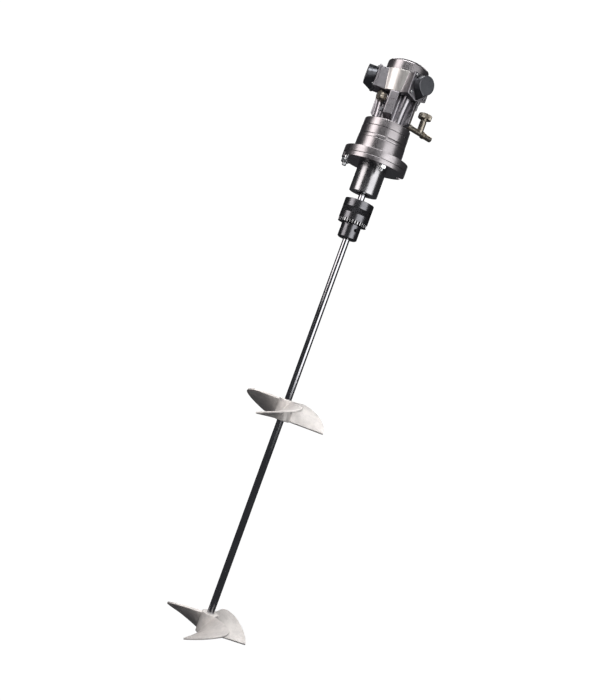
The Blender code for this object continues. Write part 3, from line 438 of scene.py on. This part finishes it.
def nitrile(name):
    """Matt black seal rubber."""
    look = Finish(name)
    grain = look.noise(EVEN, 700, detail=4)
    base = look.ramp(grain, [(0.3, (0.012, 0.012, 0.012)), (0.7, (0.035, 0.035, 0.035))])
    return look.finish(base, look.spread(grain, 0.5, 0.75), look.bump(grain, 0.1, FINE_GRAIN), metallic=0.0)


GUNMETAL = (0.34, 0.32, 0.33)
CASTING = (0.25, 0.24, 0.255)
DARK_GUNMETAL = (0.16, 0.165, 0.18)
STEEL = (0.42, 0.42, 0.44)

looks = {
    "gunmetal": turned_metal("gunmetal", GUNMETAL, 0.28),
    "cast_gunmetal": cast_metal("cast_gunmetal", CASTING, 0.34),
    # The neck's casting colour is the crankcase's made 1.35 times lighter: painted light.
    "painted_light_neck_gunmetal": cast_metal("painted_light_neck_gunmetal", tint(CASTING, 1.35), 0.3),
    # A lighter casting colour for the crankcase's outer wall: a painted highlight.
    "painted_highlight_casting": cast_metal("painted_highlight_casting", (0.62, 0.60, 0.58), 0.38, pits=0.1),
    "dark_gunmetal": cast_metal("dark_gunmetal", DARK_GUNMETAL, 0.34, pits=0.08),
    "satin_steel": turned_metal("satin_steel", (0.34, 0.335, 0.345), 0.25),
    "polished_steel": polished_metal("polished_steel", STEEL, 0.14),
    "inner_steel": turned_metal("inner_steel", (0.5, 0.5, 0.51), 0.25),
    "zinc_steel": plated_metal("zinc_steel", (0.78, 0.79, 0.8), (0.5, 0.5, 0.52), 0.2),
    "jaw_steel": turned_metal("jaw_steel", (0.3, 0.3, 0.31), 0.3),
    # A light steel for the chuck's tooth tips: a painted highlight.
    "painted_highlight_steel": turned_metal("painted_highlight_steel", (0.6, 0.6, 0.61), 0.34),
    "knurl_black": cast_metal("knurl_black", (0.045, 0.045, 0.05), 0.55, pits=0.05),
    "black_oxide": black_oxide("black_oxide"),
    "nickel_brass": plated_metal("nickel_brass", (0.47, 0.43, 0.37), (0.33, 0.27, 0.19), 0.3),
    "cast_alloy": cast_metal("cast_alloy", (0.82, 0.78, 0.75), 0.48, pits=0.06, metallic=0.4),
    "seal_rubber": nitrile("seal_rubber"),
}


def dress(made, look, body, *nodes, slot=None):
    """Give a piece its finish, let it ride on a body and stand for CAD nodes.

    Weighted normals keep a large face's shading flat up to its rounded edges.
    """
    modifier = made.modifiers.new("normals", "WEIGHTED_NORMAL")
    modifier.keep_sharp = True
    apply_modifiers(made)
    made.data.materials.clear()
    made.data.materials.append(looks[look])
    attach(made, body)
    if nodes:
        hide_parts(*nodes)
    return made


def levels(node):
    """The lowest and highest Z of a CAD node."""
    low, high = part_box(node)
    return low.z, high.z


def reach_of(node):
    """Half the width of a CAD node along X."""
    low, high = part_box(node)
    return (high.x - low.x) / 2


# Gearbox


def stud_place(bearing):
    """The vertical axis of a stud."""
    return Matrix.Translation(direction(bearing) * STUD_CIRCLE_RADIUS)


def notch():
    """An open slot from the stud circle out through the flange's rim, along +X."""
    steps = 16
    past_rim = 61 * MM
    arc = [pi / 2 + pi * k / steps for k in range(steps + 1)]
    outline = [(STUD_CIRCLE_RADIUS + CLEARANCE_RADIUS * cos(a), CLEARANCE_RADIUS * sin(a)) for a in arc]
    outline += [(past_rim, -CLEARANCE_RADIUS), (past_rim, CLEARANCE_RADIUS)]
    return prism(outline, *FLANGE_CUT)


def make_spindle_flange():
    """Tube and flange in one, with seats for the seal and bearings inside. Only the flange is gunmetal."""
    low, high = levels("spindle_flange")
    rim = reach_of("spindle_flange")
    seal_seat = 12.3 * MM
    bearing_seat = 17 * MM
    seal_top = -44 * MM
    flange_floor = -0.05 * MM
    profile = [(seal_seat, low), (TUBE_RADIUS, low), (TUBE_RADIUS, 0), (rim, 0), (rim, high)]
    profile += [(bearing_seat, high), (bearing_seat, seal_top), (seal_seat, seal_top)]
    made = piece("spindle_flange_turned", lathe(profile, size=0.7 * MM))
    openings = [(notch(), facing(b)) for b in NOTCH_BEARINGS]
    openings += [(bar(CLEARANCE_RADIUS, *FLANGE_CUT), stud_place(b)) for b in PLAIN_HOLE_BEARINGS]
    shape(made, "DIFFERENCE", *openings)
    dress(made, "satin_steel", "root", "spindle_flange", slot="polished_steel")
    made.data.materials.append(looks["gunmetal"])
    for face in made.data.polygons:
        if face.center.z > flange_floor and hypot(face.center.x, face.center.y) > TUBE_RADIUS:
            face.material_index = 1


def make_gear_housing():
    """The upper half of the flange, with a deep cup above it."""
    low, high = levels("gear_housing")
    rim = reach_of("gear_housing")
    flange_top = 20.5 * MM
    cup_floor = 15.3 * MM
    shaft_hole, cup = 20 * MM, 36 * MM
    stud_hole_top = 18.8 * MM
    profile = [(shaft_hole, low), (rim, low), (rim, flange_top), (44.5 * MM, flange_top)]
    profile += [(43.7 * MM, flange_top + 0.9 * MM), (43.5 * MM, high)]
    profile += [(cup, high), (cup, cup_floor), (shaft_hole, cup_floor)]
    made = piece("gear_housing_turned", lathe(profile, size=0.8 * MM))
    holes = [(bar(STUD_HOLE_RADIUS, 0, stud_hole_top), stud_place(b)) for b in STUD_HOLE_BEARINGS]
    shape(made, "DIFFERENCE", *holes)
    dress(made, "gunmetal", "root", "gear_housing")


def make_bearing_plate():
    low, high = levels("bearing_plate")
    inside = 35.5 * MM
    profile = [(inside, low), (43.2 * MM, low), (43 * MM, high), (inside, high)]
    made = piece("bearing_plate_turned", lathe(profile, size=0.7 * MM))
    dress(made, "gunmetal", "root", "bearing_plate")


def make_adapter_ring():
    """A cap with a wide room below and a seat for the crank's lower bearing above."""
    low, high = levels("motor_adapter_ring")
    room, seat = 36 * MM, 13.3 * MM
    room_top = low + 6 * MM
    profile = [(room, low), (42.3 * MM, low), (42 * MM, high), (seat, high)]
    profile += [(seat, room_top), (room, room_top)]
    made = piece("adapter_ring_turned", lathe(profile, size=0.9 * MM))
    dress(made, "gunmetal", "root", "motor_adapter_ring")


def make_ring_gear():
    """The ring between two grooves, with its teeth inside."""
    low, high = levels("ring_gear")
    teeth = 54
    steps = teeth * 8
    radius = 42.6 * MM
    chamfer = 0.7 * MM
    middle = 34 * MM
    half_tooth = 1.15 * MM
    flank_steepness = 1.7
    outer = [(radius - chamfer, low), (radius, low + chamfer)]
    outer += [(radius, high - chamfer), (radius - chamfer, high)]
    rings = [circle(r, z, steps) for r, z in outer]
    for z in (high, low):
        ring = []
        for k in range(steps):
            wave = cos(2 * pi * k * teeth / steps)
            r = middle - half_tooth * max(-1.0, min(1.0, flank_steepness * wave))
            ring.append((r * cos(2 * pi * k / steps), r * sin(2 * pi * k / steps), z))
        rings.append(ring)
    made = piece("ring_gear_cut", loft(rings, closed=True))
    dress(made, "gunmetal", "root", "ring_gear")


def hexagon_ring(across, limit, z):
    """A hexagon's points, cut back to a circle of radius limit where the corners pass it."""
    ring = []
    steps = HEXAGON_STEPS
    for k in range(steps):
        angle = 2 * pi * k / steps
        inside = (angle + pi / 6) % (pi / 3) - pi / 6
        r = min(across / 2 / cos(inside - pi / 6 if inside > 0 else inside + pi / 6), limit)
        ring.append((r * cos(angle), r * sin(angle), z))
    return ring


def hex_body(across, low, high, bore=0.0, tails=()):
    """A hexagon with chamfered corners along Z, with a bore or with round tails at both ends."""
    steps = HEXAGON_STEPS
    corner = across / 2 / cos(pi / 6)
    end_radius = across * 0.475
    drop = (corner - end_radius) * tan(radians(30))
    rings = [hexagon_ring(across, end_radius, low), hexagon_ring(across, corner, low + drop)]
    rings += [hexagon_ring(across, corner, high - drop), hexagon_ring(across, end_radius, high)]
    if bore:
        rings += [circle(bore, high, steps), circle(bore, low, steps)]
        return loft(rings, closed=True)
    below, above = tails
    start = [[(0, 0, below[-1][1])]] + [circle(r, z, steps) for r, z in reversed(below)]
    end = [circle(r, z, steps) for r, z in above] + [[(0, 0, above[-1][1])]]
    return loft(start + rings + end)


def threaded_bar(radius, low, high, thread_low, thread_high, pitch=1.25 * MM):
    """A round bar with a chamfered lower end and thread-like rings between two heights."""
    root = radius - 0.6 * MM
    profile = [(0, low), (radius * 0.8, low), (radius - 0.35 * MM, low + 0.8 * MM)]
    z = max(thread_low, low + 0.9 * MM)
    while z + pitch < thread_high:
        profile += [(root, z), (radius, z + 0.4 * pitch), (radius, z + 0.6 * pitch)]
        z += pitch
    profile += [(radius, z), (radius, high), (0, high)]
    return loft([circle(r, height, SMALL) for r, height in profile])


def make_studs_and_nuts():
    """Studs threaded up to the flange's underside, and their nuts below it."""
    thread_top = -0.5 * MM
    for number, bearing in enumerate(STUD_BEARINGS, 1):
        place = stud_place(bearing)
        low, high = levels(f"flange_bolt_{number}")
        bm = threaded_bar(STUD_RADIUS, low, high, low, thread_top)
        dress(piece(f"stud_{number}", bm, place), "zinc_steel", "root", f"flange_bolt_{number}")
        low, high = levels(f"flange_nut_{number}")
        nut = hex_body(NUT_ACROSS, low, high, bore=STUD_HOLE_RADIUS)
        turn = place @ Matrix.Rotation(radians(bearing), 4, "Z")
        dress(piece(f"nut_{number}", nut, turn), "zinc_steel", "root", f"flange_nut_{number}")


def make_shaft_seal():
    low, high = levels("shaft_seal")
    lip, outside = 6.3 * MM, 12 * MM
    profile = [(lip, low + MM), (7.5 * MM, low), (outside, low), (outside, high), (lip, high)]
    dress(piece("seal_lip", lathe(profile, ROUND, 0.3 * MM)), "seal_rubber", "root", "shaft_seal")


# Valve housing


def neck_radius(bearing, z, height):
    """Outer radius of the fluted neck: the core, four flat pilasters and three flared air ducts."""
    reach = NECK_CORE
    foot = min(1, max(0, (z - PILASTER_FOOT_Z) / PILASTER_FOOT_RISE))
    for pilaster in PILASTER_BEARINGS:
        turn = radians(bearing - pilaster)
        if cos(turn) > 0.5:
            side = PILASTER_HALF_WIDTH / max(abs(sin(turn)), 1e-6)
            front = (NECK_CORE + PILASTER_DEPTH * foot) / cos(turn)
            if side > NECK_CORE:
                reach = max(reach, min(side, front))
    centre = NECK_CORE + DUCT_FLARE * height ** 2
    for duct in CYLINDER_BEARINGS:
        turn = radians(bearing - duct)
        across = centre * sin(turn)
        if cos(turn) > 0 and abs(across) < DUCT_RADIUS:
            bulge = (DUCT_RADIUS ** 2 - across ** 2) ** 0.5
            reach = max(reach, centre * cos(turn) + bulge - DUCT_SINK)
    return reach


def make_valve_housing():
    """The fluted neck with its three bosses, bored through for the rotary valve."""
    low, high = levels("valve_housing")
    rows = 40
    column_bearings = [1.5 * column for column in range(240)]
    rings = []
    for row in range(rows + 1):
        z = low + (high - low) * row / rows
        points = [direction(b) * neck_radius(b, z, row / rows) for b in column_bearings]
        rings.append([(point.x, point.y, z) for point in points])
    made = piece("valve_housing_cast", loft([[(0, 0, low)]] + rings + [[(0, 0, high)]]))
    plug_place = radial(PLUG_BEARING, PLUG_Z)
    screw_place = radial(SCREW_BEARING, SCREW_Z)
    inlet_place = radial(INLET_BEARING, INLET_Z)
    inside = 15 * MM
    outside = 40 * MM
    shape(made, "UNION", (bar(9.6 * MM, inside, 29.7 * MM), plug_place),
          (bar(5 * MM, inside, 28.7 * MM), screw_place), (bar(8.5 * MM, inside, 34 * MM), inlet_place))
    shape(made, "DIFFERENCE", (bar(6.3 * MM, 17 * MM, outside), plug_place),
          (bar(2.8 * MM, 21 * MM, outside), screw_place), (bar(5.3 * MM, 17 * MM, outside), inlet_place),
          (bar(14.3 * MM, low - 5 * MM, high + 5 * MM), Matrix()))
    cast(made)
    # The neck gets the lightened casting colour, which is painted light.
    dress(made, "painted_light_neck_gunmetal", "root", "valve_housing", slot="gunmetal")


def make_neck_fittings():
    """The brass plug and the small screw: each a shank, a hexagon and a raised round end."""
    seat, top = 30 * MM, 40.5 * MM
    shank = [(6 * MM, seat), (6 * MM, 18 * MM)]
    end = [(7 * MM, top), (6.5 * MM, 42 * MM)]
    plug = hex_body(17 * MM, seat, top, tails=(shank, end))
    made = piece("neck_plug_hex", plug, radial(PLUG_BEARING, PLUG_Z))
    dress(made, "nickel_brass", "root", "neck_plug")
    seat, top = 29 * MM, 33 * MM
    shank = [(2.5 * MM, seat), (2.5 * MM, 22 * MM)]
    end = [(2 * MM, top), (1.8 * MM, 33.4 * MM)]
    head = hex_body(7 * MM, seat, top, tails=(shank, end))
    made = piece("neck_screw_hex", head, radial(SCREW_BEARING, SCREW_Z))
    dress(made, "dark_gunmetal", "root", "neck_screw", slot="zinc_steel")


# Air motor


def block_outline(lip):
    """Seen along the cylinder: x runs down, y across. A square with a point at the bottom."""
    half = 19.8 * MM + lip
    top = -16 * MM - lip
    shoulder = 21 * MM + lip
    point = 27 * MM + lip
    return [(top, -half), (shoulder, -half), (point, 0), (shoulder, half), (top, half)]


def make_crankcase():
    """A cone with three cylinder blocks. Its outer wall between them gets a lighter casting colour, a
    painted highlight.
    """
    foot_radius, top_radius = 35 * MM, 39.5 * MM
    profile = [(0, CASE_LOW), (foot_radius, CASE_LOW), (top_radius, CASE_TOP), (0, CASE_TOP)]
    made = piece("crankcase_cast", lathe(profile, FINE, 0.3 * MM))
    for bearing in CYLINDER_BEARINGS:
        place = radial(bearing, CYLINDER_Z)
        shape(made, "UNION", (prism(block_outline(0), *BLOCK), place),
              (prism(block_outline(END_PLATE_LIP), *END_PLATE), place))
    seat_radius = 37.8 * MM
    above, below = 180 * MM, 90 * MM
    shape(made, "DIFFERENCE", (bar(seat_radius, CASE_TOP, above), Matrix()),
          (bar(seat_radius, below, CASE_LOW), Matrix()))
    crank_room = bar(20 * MM, 136 * MM, 176 * MM)
    shaft_hole = bar(8 * MM, 120 * MM, 140 * MM)
    cuts = [(crank_room, Matrix()), (shaft_hole, Matrix())]
    cuts += [(bar(CYLINDER_BORE, 12 * MM, 60 * MM), radial(b, CYLINDER_Z)) for b in CYLINDER_BEARINGS]
    shape(made, "DIFFERENCE", *cuts)
    cast(made)
    dress(made, "cast_gunmetal", "root", "motor_crankcase", slot="gunmetal")
    # Painted highlight: the outward-facing wall faces get a lighter copy of the casting colour.
    made.data.materials.append(looks["painted_highlight_casting"])
    for face in made.data.polygons:
        out = Vector((face.center.x, face.center.y, 0))
        on_wall = foot_radius - 2 * MM < out.length < top_radius + MM
        if on_wall and face.normal.dot(out.normalized()) > 0.9:
            face.material_index = 1


def teardrop(radius, drop):
    """A circle with a keel that comes to a point at x = drop."""
    steps = 60
    half_open = acos(radius / drop)
    sweep = 2 * pi - 2 * half_open
    arc = [half_open + sweep * k / steps for k in range(steps + 1)]
    return [(drop, 0)] + [(radius * cos(a), radius * sin(a)) for a in arc]


def make_heads():
    """Round caps whose keels rise from the block's point towards their outer ends."""
    keel_drops = {HEAD_FOOT: 27.5 * MM, HEAD_END: 19.5 * MM}
    room = (50 * MM, 64.2 * MM)
    for number, bearing in enumerate(CYLINDER_BEARINGS, 1):
        bm = loft([[(x, y, z) for x, y in teardrop(HEAD_RADIUS, drop)] for z, drop in keel_drops.items()])
        cap_ends(bm, HEAD_FOOT, HEAD_END)
        made = piece(f"head_{number}", bm)
        bevel(made, 0.8 * MM)
        shape(made, "DIFFERENCE", (bar(CYLINDER_BORE, *room), Matrix()))
        made.data.transform(radial(bearing, CYLINDER_Z))
        dress(made, "dark_gunmetal", "root", f"cylinder_head_{number}")
        for corner, (drop, side) in enumerate(PLATE_SCREWS, 1):
            screw = hex_body(4.6 * MM, END_PLATE[1] + 0.05 * MM, 53.6 * MM, bore=1.2 * MM)
            spot = radial(bearing, CYLINDER_Z) @ Matrix.Translation((drop, side, 0))
            dress(piece(f"head_{number}_screw_{corner}", screw, spot), "zinc_steel", "root")


def make_cover():
    """A cap with a bearing seat below and a round shoulder above."""
    low, high = levels("motor_top_cover")
    radius = reach_of("motor_top_cover")
    shoulder = 5 * MM
    steps = 12
    seat_radius = 12.3 * MM
    seat_top = low + 8 * MM
    profile = [(0, seat_top), (seat_radius, seat_top), (seat_radius, low), (radius, low)]
    for k in range(steps + 1):
        angle = pi / 2 * k / steps
        profile.append((radius - shoulder * (1 - cos(angle)), high - shoulder * (1 - sin(angle))))
    profile.append((0, high))
    dress(piece("cover_turned", lathe(profile, size=0.2 * MM)), "gunmetal", "root", "motor_top_cover")


# Needle valve


def make_inlet():
    """Adapter, needle valve and hose connector, one after the other outwards from the neck."""
    place = radial(INLET_BEARING, INLET_Z)
    stem = Matrix.Translation(direction(INLET_BEARING) * STEM_REACH)
    passage = 3 * MM
    pipe = 5 * MM

    hexagon = (42 * MM, 50 * MM)
    tails = ([(pipe, hexagon[0]), (pipe, 18 * MM)], [(pipe, hexagon[1]), (pipe, 53 * MM)])
    made = piece("inlet_adapter_hex", hex_body(12 * MM, *hexagon, tails=tails))
    shape(made, "DIFFERENCE", (bar(passage, 10 * MM, 60 * MM), Matrix()))
    made.data.transform(place)
    dress(made, "nickel_brass", "root", "inlet_adapter")

    start, end = 53.3 * MM, 86 * MM
    collar = 6.6 * MM
    collar_low, collar_high = 80 * MM, 84 * MM
    profile = [(0, start), (pipe, start), (pipe, collar_low), (collar, collar_low)]
    profile += [(collar, collar_high), (pipe, collar_high), (pipe, end), (0, end)]
    made = piece("needle_valve_turned", lathe(profile, ROUND, 0.4 * MM), place)
    shape(made, "UNION", (bar(6 * MM, 96 * MM, 118 * MM, ROUND, 0.6 * MM), stem))
    shape(made, "DIFFERENCE", (bar(passage, 40 * MM, 100 * MM), place),
          (bar(NEEDLE_HOLE, 95 * MM, 120 * MM), stem))
    dress(made, "nickel_brass", "root", "needle_valve_body")

    start, end = 86.3 * MM, 102 * MM
    outside = 5.4 * MM
    profile = [(passage, start), (outside, start), (outside, end - 0.5 * MM), (pipe, end), (passage, end)]
    made = piece("hose_connector_turned", lathe(profile, ROUND, 0.3 * MM), place)
    dress(made, "nickel_brass", "root", "hose_connector")
    make_knob(stem)


def make_knob(stem):
    """A knob with a milled rim."""
    low, high = levels("valve_knob")
    radius = reach_of("valve_knob")
    foot = 122 * MM
    bore_top = 127 * MM
    hub = 6 * MM
    chamfer = 0.9 * MM
    mill_depth = 0.6 * MM
    ridges = 44
    steps = ridges * 4

    def milled(reach, z, depth):
        """A ring with ridges cut inwards from its reach."""
        ring = []
        for k in range(steps):
            r = reach - depth * (0.5 + 0.5 * cos(2 * pi * k * ridges / steps))
            ring.append((r * cos(2 * pi * k / steps), r * sin(2 * pi * k / steps), z))
        return ring

    rings = [[(0, 0, bore_top)], circle(NEEDLE_HOLE, bore_top, steps), circle(NEEDLE_HOLE, low, steps)]
    rings += [circle(hub, low, steps), circle(hub, foot, steps), milled(radius - chamfer, foot, 0)]
    rings += [milled(radius, foot + chamfer, mill_depth), milled(radius, high - chamfer, mill_depth)]
    rings += [milled(radius - chamfer, high, 0), [(0, 0, high)]]
    bm = loft(rings)
    dress(piece("knob_milled", bm, stem), "nickel_brass", "knob", "valve_knob")


# Chuck


def jaw_place(bearing):
    """The axis of a jaw's slot, which leans inwards going down."""
    foot = Matrix.Translation((9 * MM, 0, -130 * MM))
    lean = Matrix.Rotation(radians(15), 4, "Y")
    return facing(bearing) @ foot @ lean


def make_chuck_body():
    """The body with its slots for the jaws and its holes for the key."""
    low, high = levels("chuck_body")
    nose, shoulder = 17.75 * MM, 23 * MM
    nose_top = -107.5 * MM
    key_hole_z = -117 * MM
    profile = [(SHAFT_BORE, low), (nose - 3 * MM, low), (nose, low + 2 * MM), (nose, nose_top)]
    profile += [(shoulder, nose_top + 2 * MM), (shoulder, high), (SHAFT_BORE, high)]
    made = piece("chuck_body_turned", lathe(profile, FINE, 0.6 * MM))
    slots = [(bar(3.5 * MM, -12 * MM, 46 * MM), jaw_place(b)) for b in JAW_BEARINGS]
    key_bearings = [KEY_HOLE_BEARING + 120 * k for k in range(3)]
    holes = [(bar(3 * MM, 12.5 * MM, 25 * MM), radial(b, key_hole_z)) for b in key_bearings]
    shape(made, "DIFFERENCE", *slots, *holes)
    dress(made, "black_oxide", "output", "chuck_body")


def make_chuck_sleeve():
    """The sleeve with a milled band and the bevel teeth that the key turns."""
    low, high = levels("chuck_sleeve")
    radius = reach_of("chuck_sleeve")
    inner = 23.3 * MM
    inside_wall = 25 * MM
    tooth_rise, tooth_depth = 3.2 * MM, 1.9 * MM
    band_low, band_high = -89.6 * MM, -79.3 * MM
    groove = 0.5 * MM
    knurl_low = -88.9 * MM
    knurl_height = 9 * MM
    rows = 8
    teeth = 33
    ridges = 90
    steps = 720

    def ring(reach, z, depth=0.0, count=1, twist=0.0):
        """A circle with a count of flat-topped ridges, cut inwards from its reach."""
        points = []
        for k in range(steps):
            angle = 2 * pi * k / steps
            wave = cos(count * (angle + twist))
            r = reach - depth * (0.5 + 0.5 * max(-1.0, min(1.0, 1.6 * wave)))
            points.append((r * cos(angle), r * sin(angle), z))
        return points

    def toothed(reach, depth):
        """A bottom edge whose gaps between the teeth are cut upwards and inwards."""
        cut = ring(reach, low, depth, teeth)
        lift = [tooth_rise * (reach - hypot(x, y)) / depth for x, y, z in cut]
        return [(x, y, z + rise) for (x, y, z), rise in zip(cut, lift)]

    rim = toothed(radius - 0.4 * MM, tooth_depth)
    rings = [[(x * inner / hypot(x, y), y * inner / hypot(x, y), z) for x, y, z in rim], rim]
    rings += [ring(radius, low + 5.5 * MM, 0.6 * MM, teeth), ring(radius, low + 5.9 * MM)]
    rings += [ring(radius, band_low), ring(radius - groove, band_low + 0.4 * MM)]
    for row in range(rows + 1):
        z = knurl_low + knurl_height * row / rows
        rings.append(ring(radius - 0.05 * MM, z, 0.7 * MM, ridges, (pi / ridges) * (row % 2)))
    rings += [ring(radius - groove, band_high - 0.4 * MM), ring(radius, band_high), ring(radius, high - MM)]
    rings += [ring(radius - 0.3 * MM, high - 0.3 * MM), ring(radius - MM, high), ring(inner, high)]
    made = piece("chuck_sleeve_milled", loft(rings, closed=True))
    dress(made, "black_oxide", "sleeve", "chuck_sleeve")
    made.data.materials.append(looks["painted_highlight_steel"])
    made.data.materials.append(looks["knurl_black"])
    for face in made.data.polygons:
        x, y, z = face.center
        if hypot(x, y) <= inside_wall:
            continue
        # Painted highlight: the tips of the teeth get a lighter steel colour.
        if cos(teeth * atan2(y, x)) < -0.2 and z < low + 4 * MM:
            face.material_index = 1
        elif band_low + 0.1 * MM < z < band_high - 0.1 * MM:
            face.material_index = 2


# Mixing shaft and propellers


def make_mixing_shaft():
    low, high = levels("mixing_shaft")
    radius = reach_of("mixing_shaft")
    profile = [(0, low), (radius - MM, low), (radius, low + MM)]
    profile += [(radius, high - MM), (radius - MM, high), (0, high)]
    made = piece("shaft_ground", lathe(profile, ROUND, 0.2 * MM))
    dress(made, "polished_steel", "output", "mixing_shaft")


def blade_mesh(lead_bearing, hub_low):
    """One screw-shaped blade with a sharp low outer corner and a rounded high one."""
    along_count = 48
    across_count = 26
    span = radians(63)
    rise = 34 * MM
    reach = 78.6 * MM
    corner = 28 * MM
    inner = 11 * MM
    lead = radians(lead_bearing - 90)
    foot = hub_low + 2 * MM
    thickness, root_extra = 3.4 * MM, 2.2 * MM
    thickened = 30 * MM
    pitch = rise / span
    # The share of the blade's sweep that its rounded outer corner takes up.
    share = corner / (reach * span)
    bm = bmesh.new()
    sheets = []
    for side in (-1, 1):
        rows = []
        for i in range(along_count + 1):
            along = i / along_count
            into = max(0.0, (along - 1 + share) / share)
            outer = reach - corner * (1 - max(0.0, 1 - into ** 2) ** 0.5)
            row = []
            for j in range(across_count + 1):
                radius = inner + (outer - inner) * j / across_count
                angle = lead + span * along
                normal = Vector((pitch * sin(angle), -pitch * cos(angle), radius)).normalized()
                thick = thickness + root_extra * max(0, 1 - (radius - inner) / thickened)
                middle = Vector((radius * cos(angle), radius * sin(angle), foot + rise * along))
                row.append(bm.verts.new(middle + normal * side * thick / 2))
            rows.append(row)
        sheets.append(rows)
    for rows in sheets:
        for row, after in zip(rows, rows[1:]):
            for j in range(across_count):
                bm.faces.new((row[j], row[j + 1], after[j + 1], after[j]))
    rims = []
    for rows in sheets:
        rim = list(rows[0]) + [row[-1] for row in rows[1:]] + list(reversed(rows[-1][:-1]))
        rims.append(rim + [row[0] for row in reversed(rows[1:-1])])
    for k in range(len(rims[0])):
        j = (k + 1) % len(rims[0])
        bm.faces.new((rims[0][k], rims[0][j], rims[1][j], rims[1][k]))
    bmesh.ops.recalc_face_normals(bm, faces=bm.faces)
    return bm


def make_propeller(node, lead_bearing):
    """A hub with three blades cast in one, and a grub screw that holds it to the shaft."""
    low, high = levels(node)
    hub = bar(15 * MM, low, high, FINE, MM)
    parts = [(hub, Matrix())] + [(blade_mesh(lead_bearing + 120 * k, low), Matrix()) for k in range(3)]
    made = piece(f"{node}_cast", joined(*parts))
    cast(made)
    screw_place = radial(lead_bearing + 95, (low + high) / 2)
    shape(made, "DIFFERENCE", (bar(SHAFT_BORE, low - 5 * MM, high + 5 * MM), Matrix()),
          (bar(3.3 * MM, 6 * MM, 20 * MM), screw_place))
    dress(made, "cast_alloy", "output", node)
    tip, end = 6.8 * MM, 14.4 * MM
    thread = threaded_bar(3 * MM, tip, end, tip, end - MM, pitch=MM)
    screw = piece(f"{node}_grub_screw", thread)
    hexagon = [(x, y) for x, y, z in circle(1.7 * MM, 0, 6)]
    socket = prism(hexagon, 11 * MM, 16 * MM)
    shape(screw, "DIFFERENCE", (socket, Matrix()))
    screw.data.transform(screw_place)
    dress(screw, "zinc_steel", "output", f"{node}_set_screw")


# CAD nodes that keep their own mesh


def dress_cad_nodes():
    """Give every CAD node the finish of its material slot."""
    slots = {entry["node"]: entry["material_slot"] for entry in frame["record"]["subparts"]}
    for name, node in frame["nodes"].items():
        node.data.materials.clear()
        node.data.materials.append(looks[slots[name]])


# Studio

WHITE = (1, 1, 1)
WARM = (1.0, 0.95, 0.935)
COOL = (0.9, 0.92, 1.0)


def area_light(name, bearing, low, high, distance, width, power, colour=WHITE, aim=None):
    """A tall soft box that faces the axis, level or tipped towards a height on it."""
    light = bpy.data.lights.new(name, "AREA")
    light.shape = "RECTANGLE"
    light.size = width
    light.size_y = high - low
    light.energy = power
    light.color = colour
    made = bpy.data.objects.new(name, light)
    bpy.context.scene.collection.objects.link(made)
    middle = (low + high) / 2
    spot = direction(bearing) * distance + Vector((0, 0, middle))
    target = Vector((0, 0, middle if aim is None else aim))
    turn = (target - spot).to_track_quat("-Z", "Y")
    made.matrix_world = Matrix.Translation(spot) @ turn.to_matrix().to_4x4()
    made.visible_camera = False


def white_surface(name, colour, glow):
    """Paper that glows, so that it stays white wherever the lights stand."""
    material = bpy.data.materials.new(name)
    material.use_nodes = True
    shader = material.node_tree.nodes["Principled BSDF"]
    shader.inputs["Base Color"].default_value = (*colour, 1)
    shader.inputs["Roughness"].default_value = 0.9
    shader.inputs["Emission Color"].default_value = (*WHITE, 1)
    shader.inputs["Emission Strength"].default_value = glow
    return material


def make_stage():
    """A white floor far below and a white dome all round. Neither lights the part nor shows in it."""
    floor_z = -2.4
    floor_radius = 7.62
    dome = 8
    steps = 64
    floor = piece("floor", loft([[(0, 0, floor_z)], circle(floor_radius, floor_z, steps)]))
    floor.data.materials.append(white_surface("floor_paper", (0.3, 0.3, 0.3), 1.0))
    heights = [radians(a) for a in (-18, 0, 20, 45, 70)]
    rings = [circle(dome * cos(a), dome * sin(a), steps) for a in heights]
    wall = piece("backdrop", loft(rings + [[(0, 0, dome)]]))
    wall.data.materials.append(white_surface("backdrop_paper", (0, 0, 0), 1.05))
    for item in (floor, wall):
        item.visible_glossy = False
        item.visible_diffuse = False
    wall.visible_shadow = False


def make_lights():
    """Soft boxes left, right and high in front, set by the photo's reflections, and three behind."""
    world = bpy.data.worlds.new("studio")
    bpy.context.scene.world = world
    world.use_nodes = True
    background = world.node_tree.nodes["Background"]
    background.inputs["Color"].default_value = (*COOL, 1)
    background.inputs["Strength"].default_value = 0.06
    area_light("left_box", -61, low=-0.1, high=1.1, distance=1.5, width=0.95, power=12.5, colour=WARM)
    area_light("right_box", 41, low=-0.45, high=0.52, distance=1.5, width=1.45, power=12.5)
    area_light("front_box", -14, low=1.1, high=1.9, distance=1.6, width=2.2, power=40, aim=-0.7)
    area_light("back_box", 180, low=0.3, high=1.3, distance=1.8, width=0.7, power=8)
    area_light("back_left_box", 215, low=1.3, high=2.3, distance=1.5, width=1.2, power=12, aim=-0.1)
    area_light("back_right_box", 140, low=1.3, high=2.3, distance=1.5, width=1.2, power=12, aim=-0.1)


def make_camera():
    """The photo's view: level, square onto the axis and rolled so that the mixer leans."""
    spot = (-0.0101, -1.69, -0.3456)
    roll = radians(20)
    camera = bpy.data.cameras.new("camera")
    camera.lens = 49.4
    camera.sensor_width = 36
    made = bpy.data.objects.new("camera", camera)
    bpy.context.scene.collection.objects.link(made)
    place = Matrix.Translation(spot) @ Matrix.Rotation(pi / 2, 4, "X")
    made.matrix_world = place @ Matrix.Rotation(roll, 4, "Z")
    bpy.context.scene.camera = made


dress_cad_nodes()
make_spindle_flange()
make_gear_housing()
make_bearing_plate()
make_adapter_ring()
make_ring_gear()
make_studs_and_nuts()
make_shaft_seal()
make_valve_housing()
make_neck_fittings()
make_crankcase()
make_heads()
make_cover()
make_inlet()
make_chuck_body()
make_chuck_sleeve()
make_mixing_shaft()
make_propeller("upper_propeller", UPPER_LEAD_BEARING)
make_propeller("lower_propeller", LOWER_LEAD_BEARING)
make_stage()
make_lights()
make_camera()
bpy.context.scene.view_settings.view_transform = "Standard"
